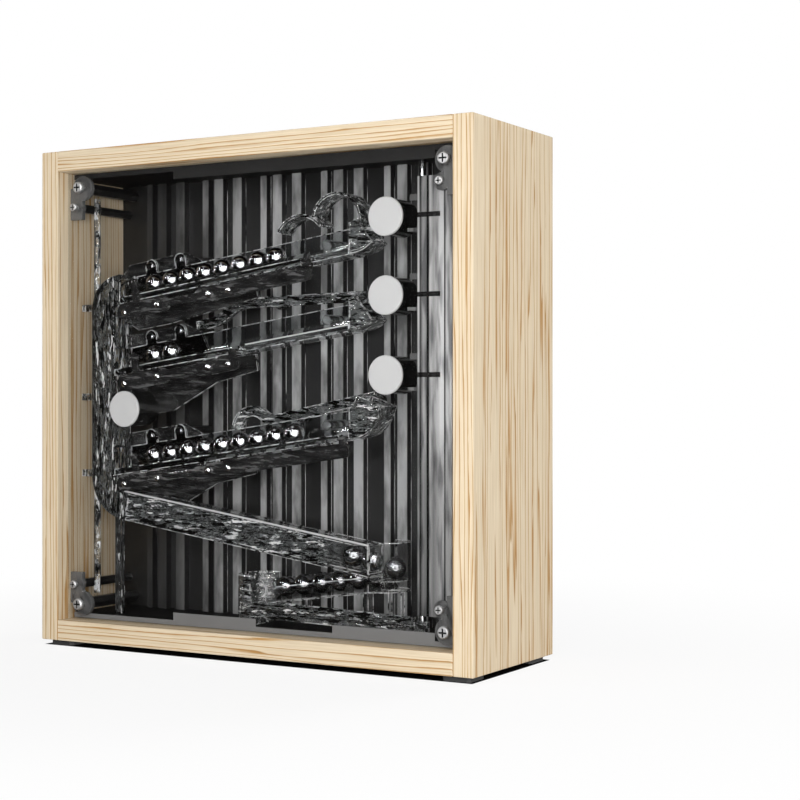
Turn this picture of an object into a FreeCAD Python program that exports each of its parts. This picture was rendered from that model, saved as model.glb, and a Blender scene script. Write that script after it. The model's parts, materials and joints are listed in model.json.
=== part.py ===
import FreeCAD, Part
import math
import os

os.makedirs("parts", exist_ok=True)

# A rolling ball clock in a wooden box frame. Steel balls lie in three sloping rows behind a
# smoked acrylic front and count ones of minutes, tens of minutes and hours. A lift at the right
# carries a ball up, a drop wheel passes it to a row, and a full row tips its release lever and
# lets the balls run down the return chute into the reservoir.
# Millimetres. X is to the right, Y goes back, Z is up. The origin is at the middle of the feet.

# ---------------------------------------------------------------- driving dimensions
board = 10.0
foot_height = 2.5
foot_length = 14.0
foot_inset = 3.0

ball_diameter = 10.0
ball_gap = 0.25
ball_side_count = 12
ball_ring_count = 6
seat_gap = 0.3
channel_gap = 0.6
plastic = 1.4

# the layers of the clock, from the front to the back
panel_recess = 7.5
panel_thickness = 2.0
corner_plate_thickness = 2.2
row_clearance = 1.3
drive_room = 23.0
back_plate_thickness = 3.0
motor_room = 23.0
rear_cover_thickness = 2.0
rear_cover_recess = 2.0
panel_gap = 0.3

# the row of pieces from the left board to the right one
chute_room = 10.8
chute_to_first_ball = 27.2
row_length = 115.0
row_to_wheel = 20.4
wheel_to_lift = 22.6
lift_inner_width = 12.0
lift_room = 9.6

# the heights of the tracks, each above the one below it
feed_left_height = 24.0
feed_right_height = 21.3
reservoir_height = 36.9
ramp_rise = 17.8
hours_rise = 36.2
tens_rise = 48.8
ones_rise = 34.7
ones_wheel_rise = 8.94
tens_wheel_rise = 8.64
hours_wheel_rise = 22.04
brake_wheel_rise = 22.7
pulley_rise = 14.5
lift_head_room = 9.4

row_slope = 8.0
ones_capacity = 10
tens_capacity = 6
hours_capacity = 12
ones_ball_count = 8
tens_ball_count = 2
hours_ball_count = 9
upper_ball_count = 2
lower_ball_count = 6

wheel_radius = 8.5
cap_radius = 8.75
cap_thickness = 1.2
wheel_shaft_radius = 1.5
brake_from_chute = 15.0

chute_top_radius = 10.0
chute_bottom_radius = 15.0
ramp_slope = 8.5
ramp_to_lift = 33.0
end_pocket_height = 17.3
feed_foot_width = 6.0
feed_foot_depth = 8.0
feed_foot_inset = 8.0
reservoir_length = 64.0
reservoir_first_inset = 5.8
upper_run_inset = 1.5
turn_drop = 12.8
turn_ball_shift = 0.6
reservoir_offset_y = 12.3

lift_rest_drop = 27.1
shaft_foot_height = 23.0
shaft_above_pulley = 2.5
carriage_gap = 0.3

belt_offset_y = 11.0
belt_width = 6.0
belt_thickness = 1.3
belt_seat = 0.3
pulley_radius = 5.0
pulley_bottom_height = 20.0
lift_motor_radius = 6.2
lift_motor_length = 16.0
wheel_motor_radius = 6.0
wheel_motor_length = 14.0

rib_depth = 4.0
rib_pitch = 35.0
rib_inset = 19.1
rib_offset_b = 7.2
rib_offset_c = 18.4
rib_width_a = 3.4
rib_width_b = 5.1

deck_thickness = 2.3
deck_gap = 0.3
lip_height = 3.6
lip_thickness = 0.7
column_from_wheel = 8.8
column_offset_y = 9.0
column_radius = 1.8
row_plate_thickness = 1.5
rail_height = 5.0
rail_thickness = 3.0
tens_rail_short = 43.0
tens_rail_bend = 22.0
tens_rail_foot = 9.0
hours_rail_short = 59.0
hours_rail_hook = 9.0

m3_head_radius = 2.85
m3_head_height = 2.2
m3_shank_radius = 1.45
m2_head_radius = 2.0
m2_head_height = 1.4
m2_shank_radius = 0.95
screw_hole_gap = 0.2
thread_gap = 0.05
m3_inset_x = 7.7
m3_inset_z = 7.5
m2_left_inset = 4.2
m2_right_inset = 10.3
m2_inset_z = 17.0
post_radius = 3.0
small_post_radius = 2.3

board_inset_y = 10.0
board_from_top = 24.0
board_post_inset = 5.0
board_post_radius = 2.5
button_radius = 3.0
button_travel = 1.0
button_spacing = 18.0
button_below_board_top = 10.0
inlet_height = 36.0
inlet_half_width = 4.5
inlet_half_height = 1.7
inlet_wall = 0.4
inlet_cover_gap = 0.2
rear_screw_bite = 8.0

# ---------------------------------------------------------------- derived values
ball_radius = ball_diameter / 2
ball_pitch = ball_diameter + ball_gap
channel_radius = ball_radius + channel_gap
channel_outer = channel_radius + plastic
lift_inner = lift_inner_width / 2
lift_outer = lift_inner + plastic

opening_half = (
    chute_room + channel_outer + chute_to_first_ball + row_length
    + row_to_wheel + wheel_to_lift + lift_outer + lift_room
) / 2
case_width = 2 * (opening_half + board)
chute_x = -opening_half + chute_room + channel_outer
first_ball_x = chute_x + chute_to_first_ball
row_right_x = first_ball_x + row_length
wheel_x = row_right_x + row_to_wheel
lift_x = wheel_x + wheel_to_lift
brake_wheel_x = chute_x + brake_from_chute
column_x = wheel_x + column_from_wheel
ramp_right_x = lift_x - ramp_to_lift
reservoir_left_x = ramp_right_x - reservoir_length
reservoir_first_x = ramp_right_x - reservoir_first_inset
upper_run_first_x = ramp_right_x - upper_run_inset
feed_right_x = lift_x - lift_outer - 1.6

slope_cos = math.cos(math.radians(row_slope))
slope_sin = math.sin(math.radians(row_slope))
slope_tan = math.tan(math.radians(row_slope))
row_rise = row_length * slope_tan
ramp_height_at_middle = reservoir_height + ramp_rise
turn_height = ramp_height_at_middle - turn_drop
hours_height = ramp_height_at_middle + hours_rise
tens_height = hours_height + tens_rise
ones_height = tens_height + ones_rise
ones_wheel_height = ones_height + row_rise + ones_wheel_rise
tens_wheel_height = tens_height + row_rise + tens_wheel_rise
hours_wheel_height = hours_height + row_rise + hours_wheel_rise
brake_wheel_height = hours_height + brake_wheel_rise
lift_rest_height = hours_wheel_height - lift_rest_drop
pulley_top_height = ones_wheel_height + pulley_rise
shaft_top_height = pulley_top_height + shaft_above_pulley
case_height = (
    pulley_top_height + pulley_radius + belt_seat + belt_thickness + lift_head_room + board
)
wood_bottom = foot_height
opening_bottom = wood_bottom + board
opening_top = wood_bottom + case_height - board

case_depth = (
    panel_recess + panel_thickness + corner_plate_thickness + row_clearance
    + 2 * channel_outer + drive_room + back_plate_thickness + motor_room
    + rear_cover_thickness + rear_cover_recess
)
front_face_y = -case_depth / 2
rear_face_y = case_depth / 2
panel_front_y = front_face_y + panel_recess
panel_back_y = panel_front_y + panel_thickness
corner_plate_back_y = panel_back_y + corner_plate_thickness
row_front_y = corner_plate_back_y + row_clearance
row_plane_y = row_front_y + channel_outer
row_back_y = row_plane_y + channel_outer
back_plate_y = row_back_y + drive_room
back_plate_back_y = back_plate_y + back_plate_thickness
rear_cover_front_y = back_plate_back_y + motor_room
rear_cover_back_y = rear_cover_front_y + rear_cover_thickness
reservoir_plane_y = row_plane_y + reservoir_offset_y
belt_plane_y = row_plane_y + belt_offset_y
column_y = row_plane_y + column_offset_y
board_y = rear_cover_front_y - board_inset_y

deck_bottom_top = opening_bottom + deck_gap + deck_thickness
deck_top_bottom = opening_top - deck_gap - deck_thickness
m2_left_x = -opening_half + m2_left_inset
m2_right_x = opening_half - m2_right_inset
m3_places = [
    (side * (opening_half - m3_inset_x), height)
    for side in (-1, 1)
    for height in (opening_bottom + m3_inset_z, opening_top - m3_inset_z)
]
m2_places = [
    (x, height)
    for x in (m2_left_x, m2_right_x)
    for height in (opening_bottom + m2_inset_z, opening_top - m2_inset_z)
]
shaft_screw_reach = 2.0
trough_screw_reach = 7.0
thread_side_count = 8
head_side_count = 16


# ---------------------------------------------------------------- helpers
def vec(x, y, z):
    return FreeCAD.Vector(x, y, z)


def box(x0, x1, y0, y1, z0, z1):
    return Part.makeBox(x1 - x0, y1 - y0, z1 - z0, vec(x0, y0, z0))


def rod_y(x, z, radius, y0, y1):
    """A round bar along Y."""
    return Part.makeCylinder(radius, y1 - y0, vec(x, y0, z), vec(0, 1, 0))


def polygon_y(x, z, radius, side_count, y):
    """A closed polygon across Y, with its corners on a circle."""
    corners = [
        vec(
            x + radius * math.cos(2 * math.pi * k / side_count), y,
            z + radius * math.sin(2 * math.pi * k / side_count),
        )
        for k in range(side_count)
    ]
    return Part.makePolygon(corners + corners[:1])


def prism_y(x, z, radius, side_count, y0, y1):
    """A straight-sided bar along Y, for what is hidden under a head."""
    return Part.Face(polygon_y(x, z, radius, side_count, y0)).extrude(vec(0, y1 - y0, 0))


def screw_hole(x, z, shank_radius, y0, y1):
    """A clearance hole for a screw, right through a plate from y0 to y1."""
    return prism_y(x, z, shank_radius + screw_hole_gap, thread_side_count, y0 - 1, y1 + 1)


def rod_z(x, y, radius, z0, z1):
    """A round bar along Z."""
    return Part.makeCylinder(radius, z1 - z0, vec(x, y, z0), vec(0, 0, 1))


def fuse(shapes):
    """One clean solid from pieces that touch or overlap."""
    result = shapes[0]
    if len(shapes) > 1:
        result = result.multiFuse(shapes[1:])
    return result.removeSplitter()


def save(name, shapes):
    """Write one node: a single solid, or a group of separate solids."""
    if not isinstance(shapes, list):
        shapes = [shapes]
    shape = shapes[0] if len(shapes) == 1 else Part.makeCompound(shapes)
    shape.exportStep("parts/" + name + ".step")


class Path:
    """A run of straights and arcs in an upright plane, drawn as with a pen."""

    def __init__(self, x, z, heading):
        self.x = x
        self.z = z
        self.heading = heading
        self.pieces = []

    def forward(self, length):
        angle = math.radians(self.heading)
        end = (self.x + length * math.cos(angle), self.z + length * math.sin(angle))
        self.pieces.append(("line", (self.x, self.z), end, self.heading))
        self.x, self.z = end
        return self

    def turn(self, radius, angle):
        """Turn left by a positive angle, right by a negative one."""
        side = 1 if angle > 0 else -1
        normal = math.radians(self.heading + 90)
        centre = (
            self.x + side * radius * math.cos(normal),
            self.z + side * radius * math.sin(normal),
        )
        first = math.radians(self.heading - 90 * side)
        last = first + math.radians(angle)
        self.pieces.append(("arc", centre, radius, side, first, last))
        self.heading += angle
        self.x = centre[0] + radius * math.cos(last)
        self.z = centre[1] + radius * math.sin(last)
        return self

    def edges(self, offset, y, extra):
        """The path's edges, moved to its left by offset, with longer end straights."""
        result = []
        last_index = len(self.pieces) - 1
        for index, piece in enumerate(self.pieces):
            if piece[0] == "line":
                angle = math.radians(piece[3])
                along = (math.cos(angle), math.sin(angle))
                shift = (-along[1] * offset, along[0] * offset)
                before = extra if index == 0 else 0
                after = extra if index == last_index else 0
                start = vec(
                    piece[1][0] + shift[0] - along[0] * before,
                    y,
                    piece[1][1] + shift[1] - along[1] * before,
                )
                end = vec(
                    piece[2][0] + shift[0] + along[0] * after,
                    y,
                    piece[2][1] + shift[1] + along[1] * after,
                )
                result.append(Part.makeLine(start, end))
            else:
                centre, radius, side, first, last = piece[1:]
                size = radius - side * offset
                spots = [
                    vec(centre[0] + size * math.cos(a), y, centre[1] + size * math.sin(a))
                    for a in (first, (first + last) / 2, last)
                ]
                result.append(Part.Arc(*spots).toShape())
        return result

    def strip(self, left, right, y0, y1, extra=0.0):
        """The solid band between two offsets of the path, from y0 back to y1."""
        left_edges = self.edges(left, y0, extra)
        right_edges = self.edges(right, y0, extra)
        start = Part.makeLine(right_edges[0].Vertexes[0].Point, left_edges[0].Vertexes[0].Point)
        end = Part.makeLine(left_edges[-1].Vertexes[-1].Point, right_edges[-1].Vertexes[-1].Point)
        wire = Part.Wire(Part.__sortEdges__(left_edges + right_edges + [start, end]))
        return Part.Face(wire).extrude(vec(0, y1 - y0, 0))

    def tube(self, plane_y, inner, outer):
        """A closed square channel round the path."""
        body = self.strip(outer, -outer, plane_y - outer, plane_y + outer)
        hollow = self.strip(inner, -inner, plane_y - inner, plane_y + inner, 2.0)
        return body.cut(hollow)


def row_line(height, x):
    """Height of a row's ball centres at x."""
    return wood_bottom + height + (x - first_ball_x) * slope_tan


def on_row(shape, height):
    """Put a shape drawn about the first ball, with X along the row, in its sloping place."""
    shape.rotate(vec(0, 0, 0), vec(0, -1, 0), row_slope)
    shape.translate(vec(first_ball_x, row_plane_y, wood_bottom + height))
    return shape


def row_point(height, along, above):
    """World X and Z of a point given along and above a row's ball centres."""
    x = first_ball_x + along * slope_cos - above * slope_sin
    z = wood_bottom + height + along * slope_sin + above * slope_cos
    return x, z


def pan_screw(x, z, head_radius, head_height, shank_radius, face_y, reach, facing=-1):
    """A pan head screw along Y, its head on face_y and its shank reaching inwards."""
    seat = polygon_y(x, z, head_radius, head_side_count, face_y)
    top = polygon_y(x, z, head_radius * 0.78, head_side_count, face_y + facing * head_height)
    head = Part.makeLoft([seat, top], True, True)
    ends = sorted((face_y, face_y - facing * reach))
    return fuse([head, prism_y(x, z, shank_radius, thread_side_count, *ends)])


def ball(x, y, z):
    """A steel ball as a closed shell of flat facets whose corners lie on the true sphere."""
    def corner(ring, step):
        polar = math.pi * ring / ball_ring_count
        around = 2 * math.pi * step / ball_side_count
        return vec(
            x + ball_radius * math.sin(polar) * math.cos(around),
            y + ball_radius * math.sin(polar) * math.sin(around),
            z + ball_radius * math.cos(polar),
        )

    faces = []
    for ring in range(ball_ring_count):
        for step in range(ball_side_count):
            corners = [corner(ring, step), corner(ring + 1, step)]
            if ring < ball_ring_count - 1:
                corners.append(corner(ring + 1, step + 1))
            if ring > 0:
                corners.append(corner(ring, step + 1))
            faces.append(Part.Face(Part.makePolygon(corners + corners[:1])))
    return Part.makeSolid(Part.makeShell(faces))


# ---------------------------------------------------------------- wooden case
def build_case():
    half = case_width / 2
    for name, x0 in (("left_stile", -half), ("right_stile", half - board)):
        stile = box(x0, x0 + board, front_face_y, rear_face_y, wood_bottom, wood_bottom + case_height)
        edges = [e for e in stile.Edges if abs(abs(e.CenterOfMass.x) - half) < 0.01]
        save(name, stile.makeFillet(0.5, edges))
    for name, z0 in (("bottom_rail", wood_bottom), ("top_rail", opening_top)):
        save(name, box(-opening_half, opening_half, front_face_y, rear_face_y, z0, z0 + board))
    feet = []
    for side_x in (-1, 1):
        for side_y in (-1, 1):
            x = side_x * (half - foot_inset - foot_length / 2)
            y = side_y * (case_depth / 2 - foot_inset - foot_length / 2)
            reach = foot_length / 2
            foot = box(x - reach, x + reach, y - reach, y + reach, 0, foot_height)
            upright = [e for e in foot.Edges if abs(e.Vertexes[0].Z - e.Vertexes[-1].Z) > 1]
            feet.append(foot.makeChamfer(1.5, upright))
    save("rubber_feet", feet)


def build_front_panel():
    reach = opening_half - panel_gap
    panel = box(
        -reach,
        reach,
        panel_front_y,
        panel_back_y,
        opening_bottom + panel_gap,
        opening_top - panel_gap,
    )
    for x, z in m3_places:
        panel = panel.cut(screw_hole(x, z, m3_shank_radius, panel_front_y, panel_back_y))
    for x, z in m2_places:
        panel = panel.cut(screw_hole(x, z, m2_shank_radius, panel_front_y, panel_back_y))
    save("front_panel", panel)
    thread = post_radius * 3
    save(
        "panel_screws",
        [
            pan_screw(
                x, z, m3_head_radius, m3_head_height, m3_shank_radius, panel_front_y,
                corner_plate_back_y - panel_front_y + thread,
            )
            for x, z in m3_places
        ],
    )
    save(
        "corner_screws",
        [
            pan_screw(
                x, z, m2_head_radius, m2_head_height, m2_shank_radius, panel_front_y,
                corner_plate_back_y - panel_front_y + (thread if x < 0 else shaft_screw_reach),
            )
            for x, z in m2_places
        ],
    )


def corner_plate(side_x, side_z):
    """A clear lobed plate that joins the M3 and M2 screws of one corner."""
    x3 = side_x * (opening_half - m3_inset_x)
    z3 = opening_top - m3_inset_z if side_z > 0 else opening_bottom + m3_inset_z
    x2 = m2_right_x if side_x > 0 else m2_left_x
    z2 = opening_top - m2_inset_z if side_z > 0 else opening_bottom + m2_inset_z
    y0 = panel_back_y
    y1 = corner_plate_back_y
    edge_x = side_x * (opening_half - deck_gap)
    web_z = z2 - side_z * 6.0
    neck = min(x3, edge_x), max(x3, edge_x)
    lobes = [
        rod_y(x3, z3, 6.0, y0, y1),
        rod_y(x2, z2, 4.0, y0, y1),
        box(neck[0], neck[1], y0, y1, min(z3, web_z), max(z3, web_z)),
        box(min(x2, x3), max(x2, x3), y0, y1, min(z2, z3), max(z2, z3)),
    ]
    plate = fuse(lobes)
    limit = box(
        -opening_half + deck_gap, opening_half - deck_gap, y0 - 1, y1 + 1,
        opening_bottom + deck_gap, opening_top - deck_gap,
    )
    plate = plate.common(limit)
    plate = plate.cut(screw_hole(x3, z3, m3_shank_radius, y0, y1))
    return plate.cut(screw_hole(x2, z2, m2_shank_radius, y0, y1))


def hex_post(x, z, radius, bore, y0, y1, bore_depth, from_back=False):
    """A hexagonal stand-off along Y with a threaded bore in one end."""
    post = prism_y(x, z, radius, 6, y0, y1)
    start = y1 - bore_depth if from_back else y0 - 1
    return post.cut(prism_y(x, z, bore, thread_side_count, start, start + bore_depth + 1))


def build_corners():
    save("corner_plates", [corner_plate(sx, sz) for sx in (-1, 1) for sz in (-1, 1)])
    posts = []
    bore_depth = post_radius * 3 + 1
    for x, z in m3_places:
        posts.append(
            hex_post(x, z, post_radius, m3_shank_radius + thread_gap, corner_plate_back_y,
                     back_plate_y, bore_depth)
        )
        posts.append(
            hex_post(x, z, post_radius, m3_shank_radius + thread_gap, back_plate_back_y,
                     rear_cover_front_y, bore_depth, True)
        )
    for x, z in m2_places:
        if x < 0:
            posts.append(
                hex_post(x, z, small_post_radius, m2_shank_radius + thread_gap, corner_plate_back_y,
                         back_plate_y, bore_depth)
            )
    save("corner_posts", posts)


# ---------------------------------------------------------------- inner plates
def build_decks():
    """Two decks, each with a lip along its front edge that points into the case."""
    reach = opening_half - deck_gap
    y0 = corner_plate_back_y + 0.5
    lip_left = chute_x + 44.0
    lip_right = opening_half - m3_inset_x - post_radius * 2 - 1.5
    spans = {
        "bottom_deck": ((lip_left, lip_left + 48.0), (lip_right - 53.0, lip_right)),
        "top_deck": ((lip_left, lip_right),),
    }
    for name, z0, lip_z in (
        ("bottom_deck", opening_bottom + deck_gap, deck_bottom_top),
        ("top_deck", deck_top_bottom, deck_top_bottom - lip_height),
    ):
        deck = box(-reach, reach, y0, back_plate_y, z0, z0 + deck_thickness)
        lips = [box(x0, x1, y0, y0 + lip_thickness, lip_z, lip_z + lip_height) for x0, x1 in spans[name]]
        save(name, fuse([deck] + lips))


def rib_places():
    """Left edge and width of each upright rib: one narrow and two wide ones in each pitch."""
    x = -opening_half + rib_inset
    while x < opening_half - rib_pitch / 3:
        for offset, width in (
            (0.0, rib_width_a),
            (rib_offset_b, rib_width_b),
            (rib_offset_c, rib_width_b),
        ):
            if x + offset + width < opening_half - 1:
                yield x + offset, width
        x += rib_pitch


def shaft_holes(y0, y1):
    """Clearance holes for everything that turns through the back plate."""
    holes = []
    for x, z in wheel_places():
        holes.append(rod_y(x, z, wheel_shaft_radius + 0.3, y0, y1))
    for height in (pulley_bottom_height, pulley_top_height):
        holes.append(rod_y(lift_x, wood_bottom + height, wheel_shaft_radius + 0.3, y0, y1))
    return holes


def build_back_plate():
    reach = opening_half - deck_gap
    plate = box(
        -reach, reach, back_plate_y, back_plate_back_y,
        opening_bottom + deck_gap, opening_top - deck_gap,
    )
    ribs = [
        box(x, x + width, back_plate_y - rib_depth, back_plate_y, deck_bottom_top, deck_top_bottom)
        for x, width in rib_places()
    ]
    plate = fuse([plate] + ribs)
    cuts = shaft_holes(back_plate_y - rib_depth - 1, back_plate_back_y + 1)
    pockets = [(x, z, post_radius) for x, z in m3_places]
    pockets += [(x, z, small_post_radius) for x, z in m2_places + post_places()]
    pockets += [(x, z, boss_radius) for x, z in boss_places() + rail_boss_places()]
    for x, z, radius in pockets:
        reach = radius + 0.2
        cuts.append(
            box(x - reach, x + reach, back_plate_y - rib_depth - 1, back_plate_y, z - reach, z + reach)
        )
    for cut in cuts:
        plate = plate.cut(cut)
    save("back_plate", plate)


# ---------------------------------------------------------------- ball rows
rows = {
    "ones": (ones_height, ones_capacity, ones_ball_count, ones_wheel_height),
    "tens": (tens_height, tens_capacity, tens_ball_count, tens_wheel_height),
    "hours": (hours_height, hours_capacity, hours_ball_count, hours_wheel_height),
}
chute_mouth_x = chute_x + chute_top_radius * (1 - slope_sin) + 2.0 * slope_cos
chute_wall_x = chute_x + channel_outer + seat_gap
row_right_end = (row_right_x - first_ball_x) / slope_cos
trim = 3.0
front_wall_top = -3.9
rear_wall_top = 7.0
pivot_along = 37.5
pivot_above = -11.5
lever_half_height = 3.4
lever_plate_half = 3.9
lever_front_y = row_front_y - 2.3
lever_back_y = row_front_y - seat_gap
ear_radius = 3.4
ear_places = {
    "ones": ((-5.9, 10.4), (12.0, 10.4)),
    "tens": ((-5.9, 10.4), (12.0, 10.4)),
    "hours": ((-5.9, 10.4), (12.0, 10.4)),
}
boss_radius = 2.6
boss_inset = 20.0
boss_along = row_length / slope_cos - boss_inset
boss_above = 2.0
row_plate_depths = {"ones": 19.4, "tens": 27.5, "hours": 27.5}


def post_places():
    """Where the troughs' posts stand on the back plate."""
    return [
        row_point(rows[name][0], along, above)
        for name in rows
        for along, above in ear_places[name]
    ]


def boss_places():
    """Where the moulded bosses at the troughs' right ends meet the back plate."""
    return [row_point(height, boss_along, boss_above) for height, _, _, _ in rows.values()]


def row_plate(height, depth):
    """A smoked plate that hangs behind the left end of a row and carries its posts."""
    y0 = channel_outer
    outline = [
        (-24.0, 10.0), (-20.0, 13.6), (15.0, 13.6), (24.0, 8.0), (29.0, -6.0), (54.0, -7.5),
        (54.0, -15.5), (30.0, -17.5), (2.0, -depth), (-19.0, -depth), (-24.0, 4.0 - depth),
    ]
    corners = [vec(along, y0, above) for along, above in outline]
    plate = Part.Face(Part.makePolygon(corners + corners[:1])).extrude(vec(0, row_plate_thickness, 0))
    for along, above in ear_places["ones"]:
        plate = plate.cut(screw_hole(along, above, m2_shank_radius, y0, y0 + row_plate_thickness))
    plate = on_row(plate, height)
    return plate.cut(
        rod_y(brake_wheel_x, wood_bottom + brake_wheel_height, wheel_shaft_radius + 0.5,
              row_back_y - 1, row_back_y + row_plate_thickness + 1)
    )


def trough(height, capacity, ears):
    """A clear half-round trough with a low front wall, a high rear wall, ears, a boss and a lug."""
    pipe_above = -seat_gap + channel_gap
    floor = -channel_outer
    outline = Part.Wire(
        [
            Part.makeLine(vec(0, -channel_outer, floor), vec(0, channel_outer, floor)),
            Part.makeLine(vec(0, channel_outer, floor), vec(0, channel_outer, rear_wall_top)),
            Part.makeLine(vec(0, channel_outer, rear_wall_top), vec(0, channel_radius, rear_wall_top)),
            Part.makeLine(vec(0, channel_radius, rear_wall_top), vec(0, channel_radius, pipe_above)),
            Part.Arc(
                vec(0, channel_radius, pipe_above),
                vec(0, 0, pipe_above - channel_radius),
                vec(0, -channel_radius, pipe_above),
            ).toShape(),
            Part.makeLine(vec(0, -channel_radius, pipe_above), vec(0, -channel_outer, pipe_above)),
            Part.makeLine(vec(0, -channel_outer, pipe_above), vec(0, -channel_outer, floor)),
        ]
    )
    left_x = chute_mouth_x if height == ones_height else chute_wall_x
    left_end = (left_x - first_ball_x) / slope_cos - trim
    right_end = row_right_end + trim
    body = Part.Face(outline).extrude(vec(right_end - left_end, 0, 0))
    body.translate(vec(left_end, 0, 0))
    front_cut = box(
        left_end - 1, right_end + 1, -channel_outer - 1, -channel_radius + 2.5,
        front_wall_top, rear_wall_top,
    )
    body = body.cut(front_cut)
    pieces = [body]
    for along, above in ears:
        ear = rod_y(along, above, ear_radius, channel_radius, channel_outer)
        neck = box(along - ear_radius, along + ear_radius, channel_radius, channel_outer, 0, above)
        pieces += [ear, neck]
    pieces.append(
        rod_y(boss_along, boss_above, boss_radius, channel_radius, back_plate_y - row_plane_y)
    )
    lug = rod_y(pivot_along, pivot_above, lever_half_height, -channel_outer, -channel_outer + 3)
    lug_neck = box(
        pivot_along - lever_half_height, pivot_along + lever_half_height,
        -channel_outer, -channel_outer + 3, pivot_above, floor + 1,
    )
    pieces += [lug, lug_neck]
    shape = fuse(pieces)
    for along, above in ears:
        shape = shape.cut(screw_hole(along, above, m2_shank_radius, channel_radius, channel_outer))
    pin_hole = rod_y(pivot_along, pivot_above, 1.0, -channel_outer - 1, -channel_outer + 4)
    shape = shape.cut(pin_hole)
    trigger = (capacity - 1) * ball_pitch
    notch = box(trigger - 2.6, trigger + 2.6, -channel_outer - 1, 3.2, floor - 1, 0)
    shape = on_row(shape.cut(notch), height)
    keep = box(left_x, row_right_x, row_front_y - 1, back_plate_y, 0, opening_top)
    return shape.common(keep)


def release_lever(height, capacity):
    """A flat lever under the row: gate finger at the left, trigger finger at the last ball."""
    trigger = (capacity - 1) * ball_pitch
    y0 = lever_front_y - row_plane_y
    y1 = lever_back_y - row_plane_y
    left_end = -14.1
    right_end = max(trigger, 48.7)
    bar = box(left_end, right_end, y0, y1, pivot_above - 1.6, pivot_above + 1.6)
    pieces = [bar]
    for x0, x1, half in ((left_end, 9.5, lever_plate_half), (32.5, right_end, lever_half_height)):
        pieces.append(box(x0, x1, y0, y1, pivot_above - half, pivot_above + half))
        for along in (x0, x1):
            pieces.append(rod_y(along, pivot_above, half, y0, y1))
    finger_along = -(ball_radius + seat_gap + 1.0)
    finger_above = 0.4
    stem = box(finger_along - 1.6, finger_along + 1.6, y0, y1, pivot_above, finger_above)
    pieces.append(stem)
    pieces.append(rod_y(finger_along, finger_above, 1.6, y0, y1))
    pieces.append(rod_y(finger_along, finger_above, 1.0, y0, 3.5))
    trigger_above = -ball_radius - seat_gap + 0.2
    pieces.append(
        box(trigger - 1.6, trigger + 1.6, y0, y1, pivot_above, trigger_above)
    )
    pieces.append(box(trigger - 1.6, trigger + 1.6, y0, 2.4, trigger_above - 1.2, trigger_above))
    lever = fuse(pieces)
    lever = lever.cut(rod_y(pivot_along, pivot_above, 1.05, y0 - 1, y1 + 1))
    return on_row(lever, height)


def lever_pin(height):
    y0 = lever_front_y - row_plane_y
    pin = rod_y(pivot_along, pivot_above, 1.0, y0 - 0.1, -channel_outer + 3)
    head = rod_y(pivot_along, pivot_above, 1.9, y0 - 0.8, y0 - 0.1)
    return on_row(fuse([pin, head]), height)


def row_ball_place(height, index):
    x, z = row_point(height, index * ball_pitch, 0)
    return x, row_plane_y, z


def row_balls(height, count):
    return [
        ball(*row_ball_place(height, index))
        for index in range(count)
    ]


def build_rows():
    pins = []
    posts = []
    screws = []
    for name, (height, capacity, shown, _) in rows.items():
        save(name + "_trough", trough(height, capacity, ear_places[name]))
        save(name + "_lever", release_lever(height, capacity))
        save(name + "_balls", row_balls(height, shown))
        pins.append(lever_pin(height))
    for x, z in post_places():
        ear_front_y = row_plane_y + channel_radius
        posts.append(
            hex_post(x, z, small_post_radius, m2_shank_radius + thread_gap,
                     row_back_y + row_plate_thickness, back_plate_y, trough_screw_reach)
        )
        screws.append(
            pan_screw(x, z, m2_head_radius, m2_head_height, m2_shank_radius, ear_front_y,
                      trough_screw_reach)
        )
    save("row_plates", [row_plate(rows[name][0], row_plate_depths[name]) for name in rows])
    save("lever_pins", pins)
    save("trough_posts", posts)
    save("trough_screws", screws)


# ---------------------------------------------------------------- drop wheels
def wheel_places():
    places = [(wheel_x, wood_bottom + data[3]) for data in rows.values()]
    places.append((brake_wheel_x, wood_bottom + brake_wheel_height))
    return places


cap_front_y = panel_back_y + 1.0
wheel_front_y = cap_front_y + cap_thickness
wheel_back_y = row_back_y - 0.7
pocket_reach = 4.2


def drop_wheel(x, z, with_pocket):
    """A drum on its shaft, with a pocket that holds one ball."""
    drum = rod_y(x, z, wheel_radius, wheel_front_y, wheel_back_y)
    if with_pocket:
        y0 = row_plane_y - channel_radius
        y1 = row_plane_y + channel_radius - 0.4
        pocket = rod_y(x + pocket_reach, z, ball_radius + 0.4, y0, y1)
        mouth = box(
            x + pocket_reach, x + wheel_radius + 1, y0, y1,
            z - ball_radius - 0.4, z + ball_radius + 0.4,
        )
        drum = drum.cut(fuse([pocket, mouth]))
    shaft = rod_y(x, z, wheel_shaft_radius, wheel_back_y, back_plate_back_y + 3)
    return fuse([drum, shaft])


def wheel_cap(x, z):
    cap = rod_y(x, z, cap_radius, cap_front_y, wheel_front_y)
    front = [e for e in cap.Edges if e.CenterOfMass.y < cap_front_y + 0.01 and e.Closed]
    return cap.makeChamfer(0.35, front)


def motor(x, z, radius, y0, length):
    """A round gearmotor with a bore for the shaft it turns."""
    body = rod_y(x, z, radius, y0, y0 + length)
    return body.cut(rod_y(x, z, wheel_shaft_radius + 0.05, y0 - 1, y0 + 4))


def build_wheels():
    names = ("ones", "tens", "hours", "brake")
    motors = []
    for name, (x, z) in zip(names, wheel_places()):
        save(name + "_wheel", drop_wheel(x, z, name != "brake"))
        save(name + "_cap", wheel_cap(x, z))
        motors.append(motor(x, z, wheel_motor_radius, back_plate_back_y, wheel_motor_length))
    save("wheel_motors", motors)


# ---------------------------------------------------------------- spouts and guide rails
spout_radius = 9.0
steep_spout = (62.0, 4.5)
flat_spout = (30.0, 2.0)
steep_rise = 12.0
hood_back_y = row_back_y - plastic - seat_gap
upper_hood = (27.4, 0.5, 12.6)
lower_hood = (46.8, 11.0, 14.0)


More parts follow.
